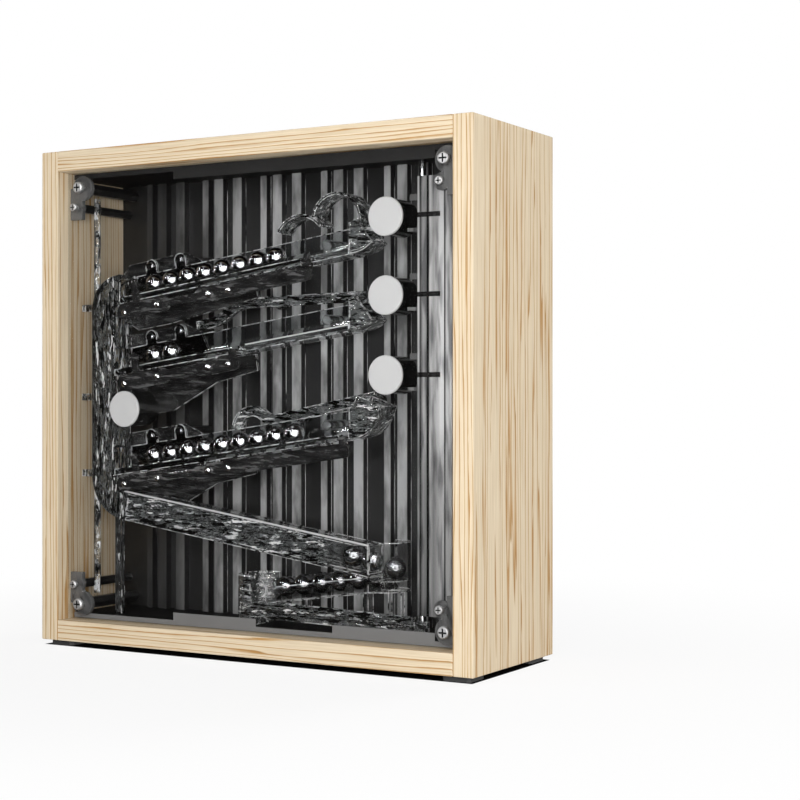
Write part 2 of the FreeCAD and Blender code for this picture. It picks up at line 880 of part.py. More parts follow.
def arch(x, z, radius, first, last):
    """A clear curved band about a centre, between two angles."""
    start = (x + radius * math.cos(math.radians(first)), z + radius * math.sin(math.radians(first)))
    path = Path(*start, first + 90).turn(radius, last - first)
    return path.strip(plastic / 2, -plastic / 2, row_front_y, hood_back_y)


def spout(height, angle, length):
    """A clear curved channel that leads a ball from a drop wheel down to its row."""
    x, z = row_point(height, row_right_end - trim, channel_gap - seat_gap)
    path = Path(x, z, row_slope).forward(2.0 + trim).turn(spout_radius, angle).forward(length)
    body = path.tube(row_plane_y, channel_radius, channel_outer)
    return body.common(box(row_right_x, opening_half, row_front_y - 1, row_back_y + 1, 0, opening_top))


def build_spouts():
    for name, (height, _, _, wheel_height) in rows.items():
        wheel_z = wood_bottom + wheel_height
        rise = wheel_height - (height + (wheel_x - first_ball_x) * slope_tan)
        shape = spout(height, *(steep_spout if rise > steep_rise else flat_spout))
        if name == "ones":
            hoods = [
                arch(wheel_x - left, wheel_z - down, radius, first, last)
                for (left, down, radius), first, last in ((upper_hood, -8, 172), (lower_hood, 38, 152))
            ]
            shape = fuse([shape] + hoods)
        clear = rod_y(wheel_x, wheel_z, cap_radius + 0.5, row_front_y - 5, row_back_y + 5)
        save(name + "_spout", shape.cut(clear))


def rail_paths():
    """The middle lines of the two guide rails, from the drop wheels to the left."""
    tens = Path(wheel_x - 14.0, wood_bottom + tens_wheel_height + 1.2, 181)
    tens.forward(row_length - tens_rail_short).turn(tens_rail_bend, 38).turn(tens_rail_bend - 2.0, -28)
    tens.forward(tens_rail_foot)
    hours = Path(wheel_x - 16.0, wood_bottom + hours_wheel_height - 9.6, 191)
    hours.forward(row_length - hours_rail_short).turn(hours_rail_hook, -50)
    hours.turn(hours_rail_hook + 0.5, 125)
    return [tens, hours]


def rail_boss_places():
    """Where the guide rails' bosses meet the back plate."""
    places = []
    for path in rail_paths():
        first = path.pieces[0]
        for share in (0.12, 0.9):
            places.append(tuple(first[1][i] + share * (first[2][i] - first[1][i]) for i in (0, 1)))
    return places


def build_guide_rails():
    """Two clear rails behind the rows, each on two bosses."""
    y0 = row_back_y + row_plate_thickness + 0.3
    bosses = rail_boss_places()
    rails = []
    for index, path in enumerate(rail_paths()):
        band = path.strip(rail_height / 2, -rail_height / 2, y0, y0 + rail_thickness)
        stand = [
            rod_y(x, z, rail_height / 2 - 0.2, y0 + 1, back_plate_y)
            for x, z in bosses[2 * index:2 * index + 2]
        ]
        rails.append(fuse([band] + stand))
    save("guide_rails", rails)


# ---------------------------------------------------------------- return chute and ramp
def build_return():
    top_turn = 270 - (180 + row_slope)
    start_x = chute_mouth_x + trim * slope_cos
    start_z = row_line(ones_height, start_x) + channel_gap - seat_gap
    path = Path(start_x, start_z, 180 + row_slope).forward(2.0 + trim)
    path.turn(chute_top_radius, top_turn)
    turn_angle = 90 - ramp_slope
    ramp_tan = math.tan(math.radians(ramp_slope))
    end_x = chute_x + chute_bottom_radius * (1 - math.sin(math.radians(ramp_slope)))
    ramp_z = wood_bottom + ramp_height_at_middle
    end_z = ramp_z - end_x * ramp_tan
    arc_top_z = end_z + chute_bottom_radius * math.cos(math.radians(ramp_slope))
    path.forward(path.z - arc_top_z).turn(chute_bottom_radius, turn_angle).forward(2.0)
    chute = path.tube(row_plane_y, channel_radius, channel_outer)
    for name in ("tens", "hours"):
        height = rows[name][0]
        z = row_line(height, chute_x + channel_outer)
        window = box(
            chute_x + channel_radius - 1, chute_x + channel_outer + 1,
            row_plane_y - channel_radius, row_plane_y + channel_radius,
            z - ball_radius - 0.6, z + ball_radius + 1.5,
        )
        chute = chute.cut(window)
    clear = rod_y(brake_wheel_x, wood_bottom + brake_wheel_height, cap_radius + 0.6,
                  cap_front_y - 1, wheel_back_y + 0.6)
    chute = chute.cut(clear)
    mouth = box(chute_mouth_x, 0, row_front_y - 1, row_back_y + 1, ramp_z + 60, opening_top)
    chute = chute.cut(mouth)
    bend_x = chute_x + chute_bottom_radius
    leg_x = chute_x + 5.0
    bend_reach = chute_bottom_radius + channel_outer
    under_z = arc_top_z - math.sqrt(bend_reach ** 2 - (bend_x - leg_x) ** 2)
    leg = box(leg_x - 1.5, leg_x + 1.5, row_plane_y - 2, row_plane_y + 2, deck_bottom_top, under_z + 0.3)
    save("return_chute", fuse([chute, leg]))

    run = (ramp_right_x - path.x) / math.cos(math.radians(ramp_slope)) + trim
    ramp = Path(path.x, path.z, -ramp_slope).forward(run)
    body = ramp.tube(row_plane_y, channel_radius, channel_outer)
    save(
        "return_ramp",
        body.cut(box(ramp_right_x, opening_half, front_face_y, rear_face_y, 0, opening_top)),
    )

    rod_x = chute_x - channel_outer - 2.3
    rod_low = opening_bottom + m3_inset_z + post_radius + 1.5
    rod_high = opening_top - m3_inset_z - post_radius - 1.5
    pieces = [rod_z(rod_x, row_plane_y, 1.7, rod_low, rod_high)]
    for height in (ones_height - 10.6, tens_height - 20.2, hours_height - 9.3):
        z = wood_bottom + height
        pieces.append(
            box(-opening_half + deck_gap, chute_x - channel_outer, row_plane_y - 2,
                row_plane_y + 2, z - 1.7, z + 1.7)
        )
    save("chute_brackets", fuse(pieces))


# ---------------------------------------------------------------- reservoir and feed
turn_y = (row_plane_y + reservoir_plane_y) / 2
turn_inner = (reservoir_plane_y - row_plane_y) / 2 + channel_radius
turn_outer = turn_inner + plastic


def half_pocket(x, side, floor_top, z0, z1):
    """Half of an upright round cup, closed on the side away from the channels."""
    outer = rod_z(x, turn_y, turn_outer, z0, z1)
    inner = rod_z(x, turn_y, turn_inner, floor_top, z1 + 1)
    keep = box(
        x if side > 0 else x - turn_outer - 1, x + turn_outer + 1 if side > 0 else x,
        turn_y - turn_outer - 1, turn_y + turn_outer + 1, z0 - 1, z1 + 1,
    )
    return outer.cut(inner).common(keep)


def sloping_trough(x0, z0, x1, slope, plane_y, front_top, rear_top):
    """An open trough with upright ends whose ball centres start at x0, z0 and run to x1."""
    length = (x1 - x0) / math.cos(math.radians(slope)) + 2 * trim
    body = box(0, length, -channel_outer, channel_outer, -channel_outer, max(front_top, rear_top))
    groove = Part.makeCylinder(
        channel_radius, length + 2, vec(-1, 0, channel_gap - seat_gap), vec(1, 0, 0)
    )
    open_top = box(-1, length + 1, -channel_radius, channel_radius, channel_gap - seat_gap, 50)
    body = body.cut(groove).cut(open_top)
    body = body.cut(box(-1, length + 1, -channel_outer - 1, 0, front_top, 50))
    body = body.cut(box(-1, length + 1, 0, channel_outer + 1, rear_top, 50))
    body.translate(vec(-trim, 0, 0))
    body.rotate(vec(0, 0, 0), vec(0, -1, 0), slope)
    body.translate(vec(x0, plane_y, z0))
    return body.common(box(x0, x1, plane_y - 20, plane_y + 20, 0, opening_top))


def reservoir_balls():
    balls = []
    ramp_tan = math.tan(math.radians(ramp_slope))
    step = ball_pitch * math.cos(math.radians(ramp_slope))
    for index in range(upper_ball_count):
        x = upper_run_first_x - index * step
        z = wood_bottom + ramp_height_at_middle - x * ramp_tan
        z -= channel_radius - ball_radius - seat_gap
        balls.append(ball(x, row_plane_y, z))
    turn_x = ramp_right_x + turn_inner - ball_radius - seat_gap
    turn_z = wood_bottom + turn_height
    balls.append(ball(turn_x, turn_y + turn_ball_shift, turn_z))
    for index in range(lower_ball_count):
        x = reservoir_first_x - index * ball_pitch * slope_cos
        z = wood_bottom + reservoir_height - index * ball_pitch * slope_sin
        balls.append(ball(x, reservoir_plane_y, z))
    return balls


def build_reservoir():
    pocket_floor = wood_bottom + turn_height - ball_radius - seat_gap
    pocket = half_pocket(ramp_right_x, 1, pocket_floor, pocket_floor - 5, pocket_floor + 17.4)
    leg = box(ramp_right_x + 2, ramp_right_x + 9, row_back_y + 0.6, row_back_y + 4,
              deck_bottom_top, pocket_floor - 4)
    save("turn_pocket", fuse([pocket, leg]))

    left_z = reservoir_height - (reservoir_first_x - reservoir_left_x) * slope_tan
    lower = sloping_trough(
        reservoir_left_x, wood_bottom + left_z, ramp_right_x, row_slope,
        reservoir_plane_y, 0.5, 4.0,
    )
    legs = []
    for x in (reservoir_left_x + 16.0, ramp_right_x - 14.0):
        z = wood_bottom + left_z + (x - reservoir_left_x) * slope_tan - channel_outer
        legs.append(box(x - 1.5, x + 1.5, reservoir_plane_y + 2, reservoir_plane_y + channel_outer,
                        deck_bottom_top, z + 1.0))
    save("reservoir_trough", fuse([lower] + legs))
    save("reservoir_balls", reservoir_balls())

    feed_slope = math.degrees(
        math.atan((feed_left_height - feed_right_height) / (feed_right_x - reservoir_left_x))
    )
    feed = sloping_trough(
        reservoir_left_x, wood_bottom + feed_left_height, feed_right_x, -feed_slope,
        row_plane_y, 1.0, -2.5,
    )
    end_floor = wood_bottom + feed_left_height - ball_radius - seat_gap
    end = half_pocket(reservoir_left_x, -1, end_floor, deck_bottom_top, end_floor + end_pocket_height)
    foot_right_x = feed_right_x - feed_foot_inset
    foot = box(
        foot_right_x - feed_foot_width, foot_right_x,
        row_plane_y - feed_foot_depth / 2, row_plane_y + feed_foot_depth / 2,
        deck_bottom_top, wood_bottom + feed_right_height - channel_outer + 1,
    )
    save("feed_channel", fuse([feed, foot, end]))


# ---------------------------------------------------------------- lift
shaft_front_y = row_front_y
shaft_back_y = row_plane_y + ball_radius


def build_lift_shaft():
    z0 = wood_bottom + shaft_foot_height
    z1 = wood_bottom + shaft_top_height
    left_x = lift_x - lift_outer
    right_x = lift_x + lift_outer
    front = box(left_x, m2_right_x + 3.0, shaft_front_y, shaft_front_y + plastic, z0, z1)
    left = box(left_x, left_x + plastic, shaft_front_y, shaft_back_y, z0, z1)
    right = box(right_x - plastic, right_x, shaft_front_y, shaft_back_y, z0, z1)
    pieces = [front, left, right]
    windows = []
    foot_window_top = wood_bottom + feed_right_height + channel_outer
    windows.append(
        box(left_x - 1, left_x + plastic + 0.5, row_plane_y - 5.5, shaft_back_y + 1, z0 - 1,
            foot_window_top)
    )
    for _, _, _, wheel_height in rows.values():
        z = wood_bottom + wheel_height
        windows.append(
            box(left_x - 1, left_x + plastic + 0.5, row_plane_y - 5.5, shaft_back_y + 1,
                z - ball_radius - 0.3, z + ball_radius + 1.5)
        )
        shelf_x = wheel_x + cap_radius + 0.6
        pieces.append(
            box(shelf_x, left_x, row_plane_y - 5.5, shaft_back_y, z - ball_radius - 2.0,
                z - ball_radius - 0.5)
        )
    for x, z in m2_places:
        if x > 0:
            pieces.append(rod_y(x, z, 2.6, corner_plate_back_y, shaft_front_y))
    shaft = fuse(pieces)
    for window in windows:
        shaft = shaft.cut(window)
    for x, z in m2_places:
        shaft = shaft.cut(
            prism_y(x, z, m2_shank_radius + thread_gap, thread_side_count, corner_plate_back_y - 1,
                    shaft_front_y + 3)
        )
    save("lift_shaft", shaft)
    tabs = [
        box(left_x - 5.6, left_x, row_plane_y - 4, row_plane_y + 4,
            wood_bottom + wheel_height + ball_radius + 1.8, wood_bottom + wheel_height + ball_radius + 4.6)
        for _, _, _, wheel_height in rows.values()
    ]
    save("lift_tabs", tabs)


def build_carriage():
    z = wood_bottom + lift_rest_height
    x0 = lift_x - lift_inner + carriage_gap
    x1 = lift_x + lift_inner - carriage_gap
    y0 = shaft_front_y + plastic + carriage_gap
    y1 = shaft_back_y - 0.5
    wall = 1.0
    bottom = z - 7.0
    top = z + 8.0
    body = box(x0, x1, y0, y1, bottom, top)
    hollow = box(x0 - 1, x1 - wall, y0 + wall, y1 - wall, z - ball_radius - 0.3, z + ball_radius + 1.2)
    body = body.cut(hollow)
    for low, high in ((-5.3, -1.6), (1.6, 5.6)):
        body = body.cut(box(x0 + 1.6, x1 - 1.6, y0 - 1, y0 + wall + 0.5, z + low, z + high))
    belt_left = lift_x - pulley_radius - belt_seat - belt_thickness
    clamp_right = belt_left - 0.3
    clamp_left = clamp_right - 1.6
    arm_front_y = shaft_back_y + 0.3
    arm_back_y = shaft_back_y + 1.5
    tie = box(x0, x0 + 3, y1 - 1, arm_back_y, z - 5, z + 5)
    arm = box(clamp_left, x0 + 3, arm_front_y, arm_back_y, z - 5, z + 5)
    clamp = box(clamp_left, clamp_right, arm_front_y, belt_plane_y + 2, z - 5, z + 5)
    save("lift_carriage", fuse([body, tie, arm, clamp]))


def build_belt_drive():
    inner = pulley_radius + belt_seat
    z0 = wood_bottom + pulley_bottom_height
    z1 = wood_bottom + pulley_top_height
    y0 = belt_plane_y - belt_width / 2
    y1 = belt_plane_y + belt_width / 2

    def loop(radius, front, back):
        middle = box(lift_x - radius, lift_x + radius, front, back, z0, z1)
        return fuse([middle, rod_y(lift_x, z0, radius, front, back), rod_y(lift_x, z1, radius, front, back)])

    save("lift_belt", loop(inner + belt_thickness, y0, y1).cut(loop(inner, y0 - 1, y1 + 1)))
    for name, z, reach in (
        ("top_pulley", z1, back_plate_back_y),
        ("bottom_pulley", z0, back_plate_back_y + 3),
    ):
        drum = rod_y(lift_x, z, pulley_radius, y0 + 0.2, y1 - 0.2)
        flange = rod_y(lift_x, z, pulley_radius + 0.1, y1 - 0.2, y1 + 0.8)
        shaft = rod_y(lift_x, z, wheel_shaft_radius, y0 - 1.2, reach)
        pulley = fuse([drum, flange, shaft])
        hole = rod_y(lift_x + 3.2, z, 0.9, y0 - 1, y1 + 1)
        save(name, pulley.cut(hole))
    save("lift_motor", motor(lift_x, z0, lift_motor_radius, back_plate_back_y, lift_motor_length))


def build_column():
    column = rod_z(column_x, column_y, column_radius, deck_bottom_top, deck_top_bottom)
    save("lift_column", column)


# ---------------------------------------------------------------- rear
board_thickness = 1.6
board_half_x = 46.0
board_height = 88.0
switch_size = 6.0
switch_height = 3.5


def button_places():
    z = opening_top - board_from_top - button_below_board_top
    return [(-button_spacing / 2, z), (button_spacing / 2, z)]


def build_circuit_board():
    z1 = opening_top - board_from_top
    z0 = z1 - board_height
    y1 = board_y + board_thickness
    pieces = [box(-board_half_x, board_half_x, board_y, y1, z0, z1)]
    half = switch_size / 2
    for x, z in button_places():
        pieces.append(box(x - half, x + half, y1, y1 + switch_height, z - half, z + half))
    pieces.append(box(-12, 6, y1, y1 + 1.6, z0 + 36, z0 + 54))
    pieces.append(box(18, 34, y1, y1 + 2.4, z0 + 20, z0 + 30))
    for x in (-36.0, -26.0, 28.0):
        pieces.append(rod_y(x, z0 + 66, 3.2, y1, y1 + 7))
    for index in range(4):
        x = -34 + index * 15
        pieces.append(box(x, x + 9, y1, y1 + 5.5, z0 + 3, z0 + 8.5))
    for x in (-board_half_x + board_post_inset, board_half_x - board_post_inset):
        for z in (z0 + board_post_inset, z1 - board_post_inset):
            pieces.append(rod_y(x, z, board_post_radius, back_plate_back_y, board_y))
    save("circuit_board", fuse(pieces))


def build_rear_cover():
    reach = opening_half - panel_gap
    cover = box(
        -reach, reach, rear_cover_front_y, rear_cover_back_y,
        opening_bottom + panel_gap, opening_top - panel_gap,
    )
    cuts = []
    for x, z in button_places():
        cuts.append(rod_y(x, z, button_radius + 0.2, rear_cover_front_y - 1, rear_cover_back_y + 1))
    z = wood_bottom + inlet_height
    reach_x = inlet_half_width + inlet_cover_gap
    reach_z = inlet_half_height + inlet_cover_gap
    cuts.append(
        box(-reach_x, reach_x, rear_cover_front_y - 1, rear_cover_back_y + 1, z - reach_z, z + reach_z)
    )
    for x, z in m3_places:
        cuts.append(screw_hole(x, z, m3_shank_radius, rear_cover_front_y, rear_cover_back_y))
    for cut in cuts:
        cover = cover.cut(cut)
    save("rear_cover", cover)
    save(
        "rear_screws",
        [
            pan_screw(x, z, m3_head_radius, 1.8, m3_shank_radius, rear_cover_back_y,
                      rear_cover_thickness + rear_screw_bite, 1)
            for x, z in m3_places
        ],
    )


def build_buttons():
    for name, (x, z) in zip(("hour_button", "minute_button"), button_places()):
        cap = rod_y(x, z, button_radius, rear_cover_front_y - 0.3, rear_cover_back_y + 1.4)
        rim = [e for e in cap.Edges if e.Closed and e.CenterOfMass.y > rear_cover_back_y + 1.3]
        cap = cap.makeChamfer(0.4, rim)
        flange = rod_y(x, z, button_radius + 1.2, rear_cover_front_y - 1.3, rear_cover_front_y - 0.3)
        stem_y = board_y + board_thickness + switch_height + button_travel + 0.3
        stem = rod_y(x, z, 1.5, stem_y, rear_cover_front_y - 1.3)
        save(name, fuse([cap, flange, stem]))


def build_power_inlet():
    z = wood_bottom + inlet_height
    shell = box(
        -inlet_half_width, inlet_half_width, rear_cover_front_y - 5, rear_cover_back_y,
        z - inlet_half_height, z + inlet_half_height,
    )
    upright = [e for e in shell.Edges if abs(e.Vertexes[0].Y - e.Vertexes[-1].Y) > 1]
    shell = shell.makeFillet(1.5, upright)
    half_x = inlet_half_width - inlet_wall
    half_z = inlet_half_height - inlet_wall
    hollow = box(-half_x, half_x, rear_cover_front_y - 4, rear_cover_back_y + 1, z - half_z, z + half_z)
    tongue = box(
        0.9 - half_x, half_x - 0.9, rear_cover_front_y - 4.5, rear_cover_back_y - 1, z - 0.35, z + 0.35
    )
    socket = fuse([shell.cut(hollow), tongue])
    flange = box(
        -2 * inlet_half_width, 2 * inlet_half_width, rear_cover_front_y - 3.5, rear_cover_front_y,
        z - 5, z + 5,
    )
    around = box(
        -inlet_half_width - 0.1, inlet_half_width + 0.1, rear_cover_front_y - 4, rear_cover_front_y + 1,
        z - inlet_half_height - 0.1, z + inlet_half_height + 0.1,
    )
    block = box(
        -2 * inlet_half_width, 2 * inlet_half_width, rear_cover_front_y - 5, rear_cover_front_y - 3.5,
        z - 5, z + 5,
    )
    save("power_inlet", fuse([socket, flange.cut(around), block]))


build_case()
build_front_panel()
build_corners()
build_decks()
build_back_plate()
build_rows()
build_wheels()
build_spouts()
build_guide_rails()
build_return()
build_reservoir()
build_lift_shaft()
build_carriage()
build_belt_drive()
build_column()
build_circuit_board()
build_rear_cover()
build_buttons()
build_power_inlet()
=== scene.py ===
"""Looks of the rolling ball clock: finishes, polished balls, screws and the studio around it."""
import json
import math

import bmesh
import bpy
from mathutils import Matrix, Vector


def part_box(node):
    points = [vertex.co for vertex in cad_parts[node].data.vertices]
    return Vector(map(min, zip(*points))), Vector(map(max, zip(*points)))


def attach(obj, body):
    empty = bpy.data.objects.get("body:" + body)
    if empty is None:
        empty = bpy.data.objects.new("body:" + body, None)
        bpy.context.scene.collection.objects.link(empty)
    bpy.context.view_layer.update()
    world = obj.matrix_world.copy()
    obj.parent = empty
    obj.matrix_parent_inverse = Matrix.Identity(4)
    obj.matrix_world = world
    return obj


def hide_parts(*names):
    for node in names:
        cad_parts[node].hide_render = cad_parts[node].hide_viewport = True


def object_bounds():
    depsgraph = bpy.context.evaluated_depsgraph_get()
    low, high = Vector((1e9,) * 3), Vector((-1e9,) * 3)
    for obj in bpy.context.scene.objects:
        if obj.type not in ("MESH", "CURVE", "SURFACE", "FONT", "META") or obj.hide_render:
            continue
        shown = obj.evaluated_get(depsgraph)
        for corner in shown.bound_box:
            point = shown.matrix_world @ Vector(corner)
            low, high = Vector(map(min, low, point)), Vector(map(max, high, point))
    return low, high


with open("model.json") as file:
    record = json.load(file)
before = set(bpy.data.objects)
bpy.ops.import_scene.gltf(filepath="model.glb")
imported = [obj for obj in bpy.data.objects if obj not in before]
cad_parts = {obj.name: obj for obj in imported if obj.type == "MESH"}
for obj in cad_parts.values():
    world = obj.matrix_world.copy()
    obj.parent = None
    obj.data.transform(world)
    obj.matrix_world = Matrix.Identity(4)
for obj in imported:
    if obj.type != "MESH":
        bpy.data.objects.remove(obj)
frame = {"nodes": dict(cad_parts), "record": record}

bl_info = {
    "name": "Rolling Ball Clock",
    "version": (1, 0, 0),
    "blender": (4, 5, 0),
    "location": "3D View > Sidebar > Ball Clock",
    "description": "Finishes and small pieces of a rolling ball clock, and the studio around it",
    "category": "Object",
}

CAD_LOW, CAD_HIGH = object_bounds()
NODE_BODY = {
    node: body
    for body, members in frame["record"]["behaviour"]["bodies"].items()
    for node in members
}
MM = 0.001

# Nodes that share a finish.
STILES = ("left_stile", "right_stile")
RAILS = ("top_rail", "bottom_rail")
BOARDS = STILES + RAILS
ROWS = ("ones", "tens", "hours")
TROUGHS = ("ones_trough", "tens_trough", "hours_trough")
SPOUTS = ("ones_spout", "tens_spout", "hours_spout")
LEVERS = ("ones_lever", "tens_lever", "hours_lever")
CHANNELS = (
    *TROUGHS, *SPOUTS, "return_chute", "return_ramp", "chute_brackets", "turn_pocket",
    "reservoir_trough", "feed_channel", "guide_rails",
)

# Slopes of the tracks, and the angles and distance that the mesh work goes by.
ROW_SLOPE = math.radians(8)
RAMP_SLOPE = math.radians(-8.5)
FLAT_ANGLE = math.radians(1)
SMOOTH_ANGLE = math.radians(35)
SHARP_ANGLE = math.radians(40)
SAME_POINT = 1e-6

# Spacing of the patterns in the finishes, in millimetres.
GRAIN_SWAY = 11.11
GRAIN_WANDER = 11.0
WOOD_FIBRE = 0.625      # drawn a few times coarser than real, so that it shows
SURFACE_RIPPLE = 5.882
GLINT_STREAK = 2.0         # painted streaks of glint and dark refraction, coarser than real flow lines so that they show
EDGE_GLINT = 4.762
DIE_LINE = 2.0          # drawn coarser than real die lines, so that they show
SHAFT_HAZE = 3.846
RIB_BLOTCH = 9.0
COPPER_TRACK = 11.11

# How far the patterns are drawn out along a piece: the share of their scale that is left.
EVENLY = (1.0, 1.0, 1.0)
ALONG_BOARD = (1.0, 1.0, 0.03)
ALONG_FIBRE = (1.0, 1.0, 0.02)
SIDEWAYS = (0.2, 1.0, 1.0)
UPRIGHT = (1.0, 1.0, 0.2)
ALONG_RIB = (1.0, 1.0, 0.15)
ALONG_SHAFT = (1.0, 1.0, 0.12)
ALONG_BLOTCH = (1.0, 1.0, 0.3)

# Clear plastic: the ramp's length without painted streaks, how much body its thin walls keep, where
# the ribs' painted glints begin, and how much of the tens trough has a bead of painted highlight.
# Lengths are in millimetres.
POLISHED_END = 24.0
THIN_WALL = 0.15
GLINTS_FROM = -45.0
TENS_BEAD = 0.42

# Lift shaft: half height of the painted shadow at a window, where the windows end, and the grey of
# the shaft at places across it, painted highlight and painted dark. Lengths are in millimetres.
WINDOW_SHADOW_HALF = 1.1
WINDOW_RIGHT = 97.0
SHAFT_LEFT = 85.0
SHAFT_RIGHT = 103.5
SHAFT_PAINTED_BANDS = (
    (85.0, 0.3), (86.2, 0.9), (87.0, 0.03), (88.4, 0.55), (90.0, 0.4), (90.5, 0.01),
    (91.2, 0.01), (91.8, 0.9), (93.6, 0.5), (96.0, 0.8), (97.0, 1.0), (98.8, 1.0),
    (99.1, 0.02), (99.4, 0.02), (99.9, 0.9), (103.5, 1.0),
)
# Painted shade up the shaft, from its foot to its top in metres: darker low down and a little at the
# top.
SHAFT_FOOT = 0.03
SHAFT_TOP = 0.22
SHAFT_PAINTED_SHADE = ((0.0, 0.5), (0.32, 0.6), (0.42, 0.95), (0.75, 1.0), (0.95, 0.7))

# Rivets of a lever: along the row from its pin and above it, in millimetres.
RIVET_PLACES = ((-51.6, -0.5), (-31.1, 0.0), (11.2, -0.2))
# Profile of a dome as (radius, depth) in metres.
DOME = (
    (0, -0.0006), (0.0005, -0.00054), (0.0009, -0.0004), (0.0013, -0.0001), (0.0015, 0.0002),
    (0.0015, 0.0006), (0, 0.0006),
)
DOME_SIDES = 24
BEAD_SIDES = 12
BALL_SUBDIVISIONS = 4

# Screw head, as shares of its radius, and depth shares of its height.
HEAD_SIDES = 32
HEAD_HEIGHT = 0.72
SHANK_RADIUS = 0.5
RECESS_WIDTH = 0.26
RECESS_ARM = 0.75
RECESS_FLOOR_ARM = 0.3
RECESS_FLOOR = 0.2
RECESS_CLEARANCE = 0.0003

# Camera and lamps, in metres, degrees and watts. FILL_LAMPS have their places from the middle of
# the clock. GLINT_LAMPS stand a metre out from it, at their direction in degrees and their height.
CAMERA_PLACE = (0.45169, -0.67642, 0.12049)
CAMERA_YAW = 30.0
CAMERA_LENS = 76.25
SENSOR_WIDTH = 36.0
KEY_DISTANCE = 0.95
KEY_SHIFT = (-0.08, 0, 0.02)
KEY_SIZE = 0.5
KEY_WATTS = 7.6
BALL_LAMP_SHIFT = (0, 0, 0.1)
BALL_LAMP_SIZE = 1.16
BALL_LAMP_WATTS = 30.0
FILL_SIZE = 0.5
FILL_LAMPS = (
    ("side", (1.1, -0.1, 0.45), 1.5),
    ("top", (-0.2, -0.35, 1.1), 1.6),
    ("behind", (0.35, 0.95, 0.75), 5.0),
)
GLINT_SIZE = 0.09
GLINT_WATTS = 1.6
GLINT_LAMPS = (
    (-78, 0.35), (-75, 0.05), (-66, 0.8), (-52, 0.5), (-20, 0.7), (-12, 0.35), (-5, -0.02), (3, 0.95),
    (14, 0.45), (52, 0.8), (62, 0.3), (70, 0.6), (78, 0.02),
)

# Stage: sizes in metres, and how much of the floor and the world is plain white light.
FLOOR_REACH = 6.0
SHADE_INSET = 0.001
GLOW_NEAR = 0.14
GLOW_FAR = 0.42
GLOW_SHARE = 0.86
WORLD_FILL = 0.4
FLAG_RADIUS = 2.6
FLAG_OPENS_AT = 0.9


def linear(code):
    """An sRGB hex colour as linear red, green and blue."""
    channels = [int(code[i:i + 2], 16) / 255 for i in (1, 3, 5)]
    return tuple(c / 12.92 if c <= 0.04045 else ((c + 0.055) / 1.055) ** 2.4 for c in channels)


# ---------------------------------------------------------------- settings
def colour_setting(name, code, description):
    return bpy.props.FloatVectorProperty(
        name=name, description=description, subtype="COLOR", size=3, min=0, max=1,
        default=linear(code),
    )


def size_setting(name, millimetres, description):
    return bpy.props.FloatProperty(
        name=name, description=description, subtype="DISTANCE", unit="LENGTH", min=0,
        default=millimetres * MM,
    )


class ClockColours(bpy.types.PropertyGroup):
    """Colours of the clock's finishes."""

    ash: colour_setting("Ash", "#DDCDB2", "Early wood between the grain lines")
    ash_grain: colour_setting("Ash grain", "#B58C56", "Late wood of the grain lines")
    smoke: colour_setting("Smoked sheet", "#191817", "Body of the smoked acrylic sheets")
    clear: colour_setting("Clear channels", "#E6E9EA", "Tint of the clear moulded channels")
    lever: colour_setting("Levers and plates", "#4A4A4A", "Tint of the levers and row plates")
    rib: colour_setting("Ribs", "#9E9E9E", "Faces of the upright ribs")
    black: colour_setting("Black plastic", "#141414", "Posts, drums and the carriage")
    white: colour_setting("Caps", "#DCDCDC", "Caps of the drop wheels")
    frosted: colour_setting("Frosted plastic", "#E9EBEC", "Lift shaft and corner plates")
    mask: colour_setting("Circuit board", "#123A20", "Solder mask of the circuit board")


class ClockSizes(bpy.types.PropertyGroup):
    """Sizes of the clock's fine detail."""

    edge: size_setting("Eased edge", 0.25, "Rounding of moulded and laser-cut edges")
    wood_edge: size_setting("Wood edge", 0.5, "Rounding of the sanded wood edges")
    grain: size_setting("Grain spacing", 2.0, "Distance between two grain lines")
    # Widths of the lines of painted glint and painted dark along edges, and of the bead of painted
    # highlight.
    edge_line: size_setting("Edge line", 0.45, "Width of the bright line along a clear edge")
    chute_line: size_setting("Chute line", 1.3, "Width of the dark line along the chute's edges")
    bead: size_setting("Edge bead", 0.9, "Diameter of the polished bead along a channel's edge")
    # Painted shade on the ribs: black from the first of these, left of the middle, grey from the
    # second.
    painted_shade_darkest_at: size_setting("Dark ribs", 78.0, "How far left of the middle the ribs are black")
    painted_shade_ends_at: size_setting("Grey ribs", 28.0, "How far left of the middle the ribs are grey")


# ---------------------------------------------------------------- material helpers
def add(tree, kind, settings=None, inputs=None, stops=(), into=None):
    """One node with its settings, inputs linked or set, and colour stops, linked into a socket."""
    node = tree.nodes.new(kind)
    for name, value in (settings or {}).items():
        setattr(node, name, value)
    for name, value in (inputs or {}).items():
        if isinstance(value, bpy.types.NodeSocket):
            tree.links.new(value, node.inputs[name])
        else:
            node.inputs[name].default_value = value
    if stops:
        while len(node.color_ramp.elements) < len(stops):
            node.color_ramp.elements.new(0.5)
        for element, (position, colour) in zip(node.color_ramp.elements, stops):
            element.position = position
            element.color = colour
    if into is not None:
        tree.links.new(next(output for output in node.outputs if output.enabled), into)
    return node


def new_material(name, **values):
    """A material, its shader with the shader's own sockets set, and the place on the piece."""
    material = bpy.data.materials.new(name)
    material.use_nodes = True
    tree = material.node_tree
    shader = tree.nodes["Principled BSDF"]
    for socket, value in values.items():
        shader.inputs[socket.replace("_", " ")].default_value = value
    return material, tree, shader, add(tree, "ShaderNodeTexCoord").outputs["Object"]


def rgba(colour, scale=1.0):
    """A linear colour, made lighter or darker, with full alpha."""
    return (*[c * scale for c in colour], 1.0)


def grey(value):
    """A grey of this linear value, with full alpha."""
    return (value, value, value, 1.0)


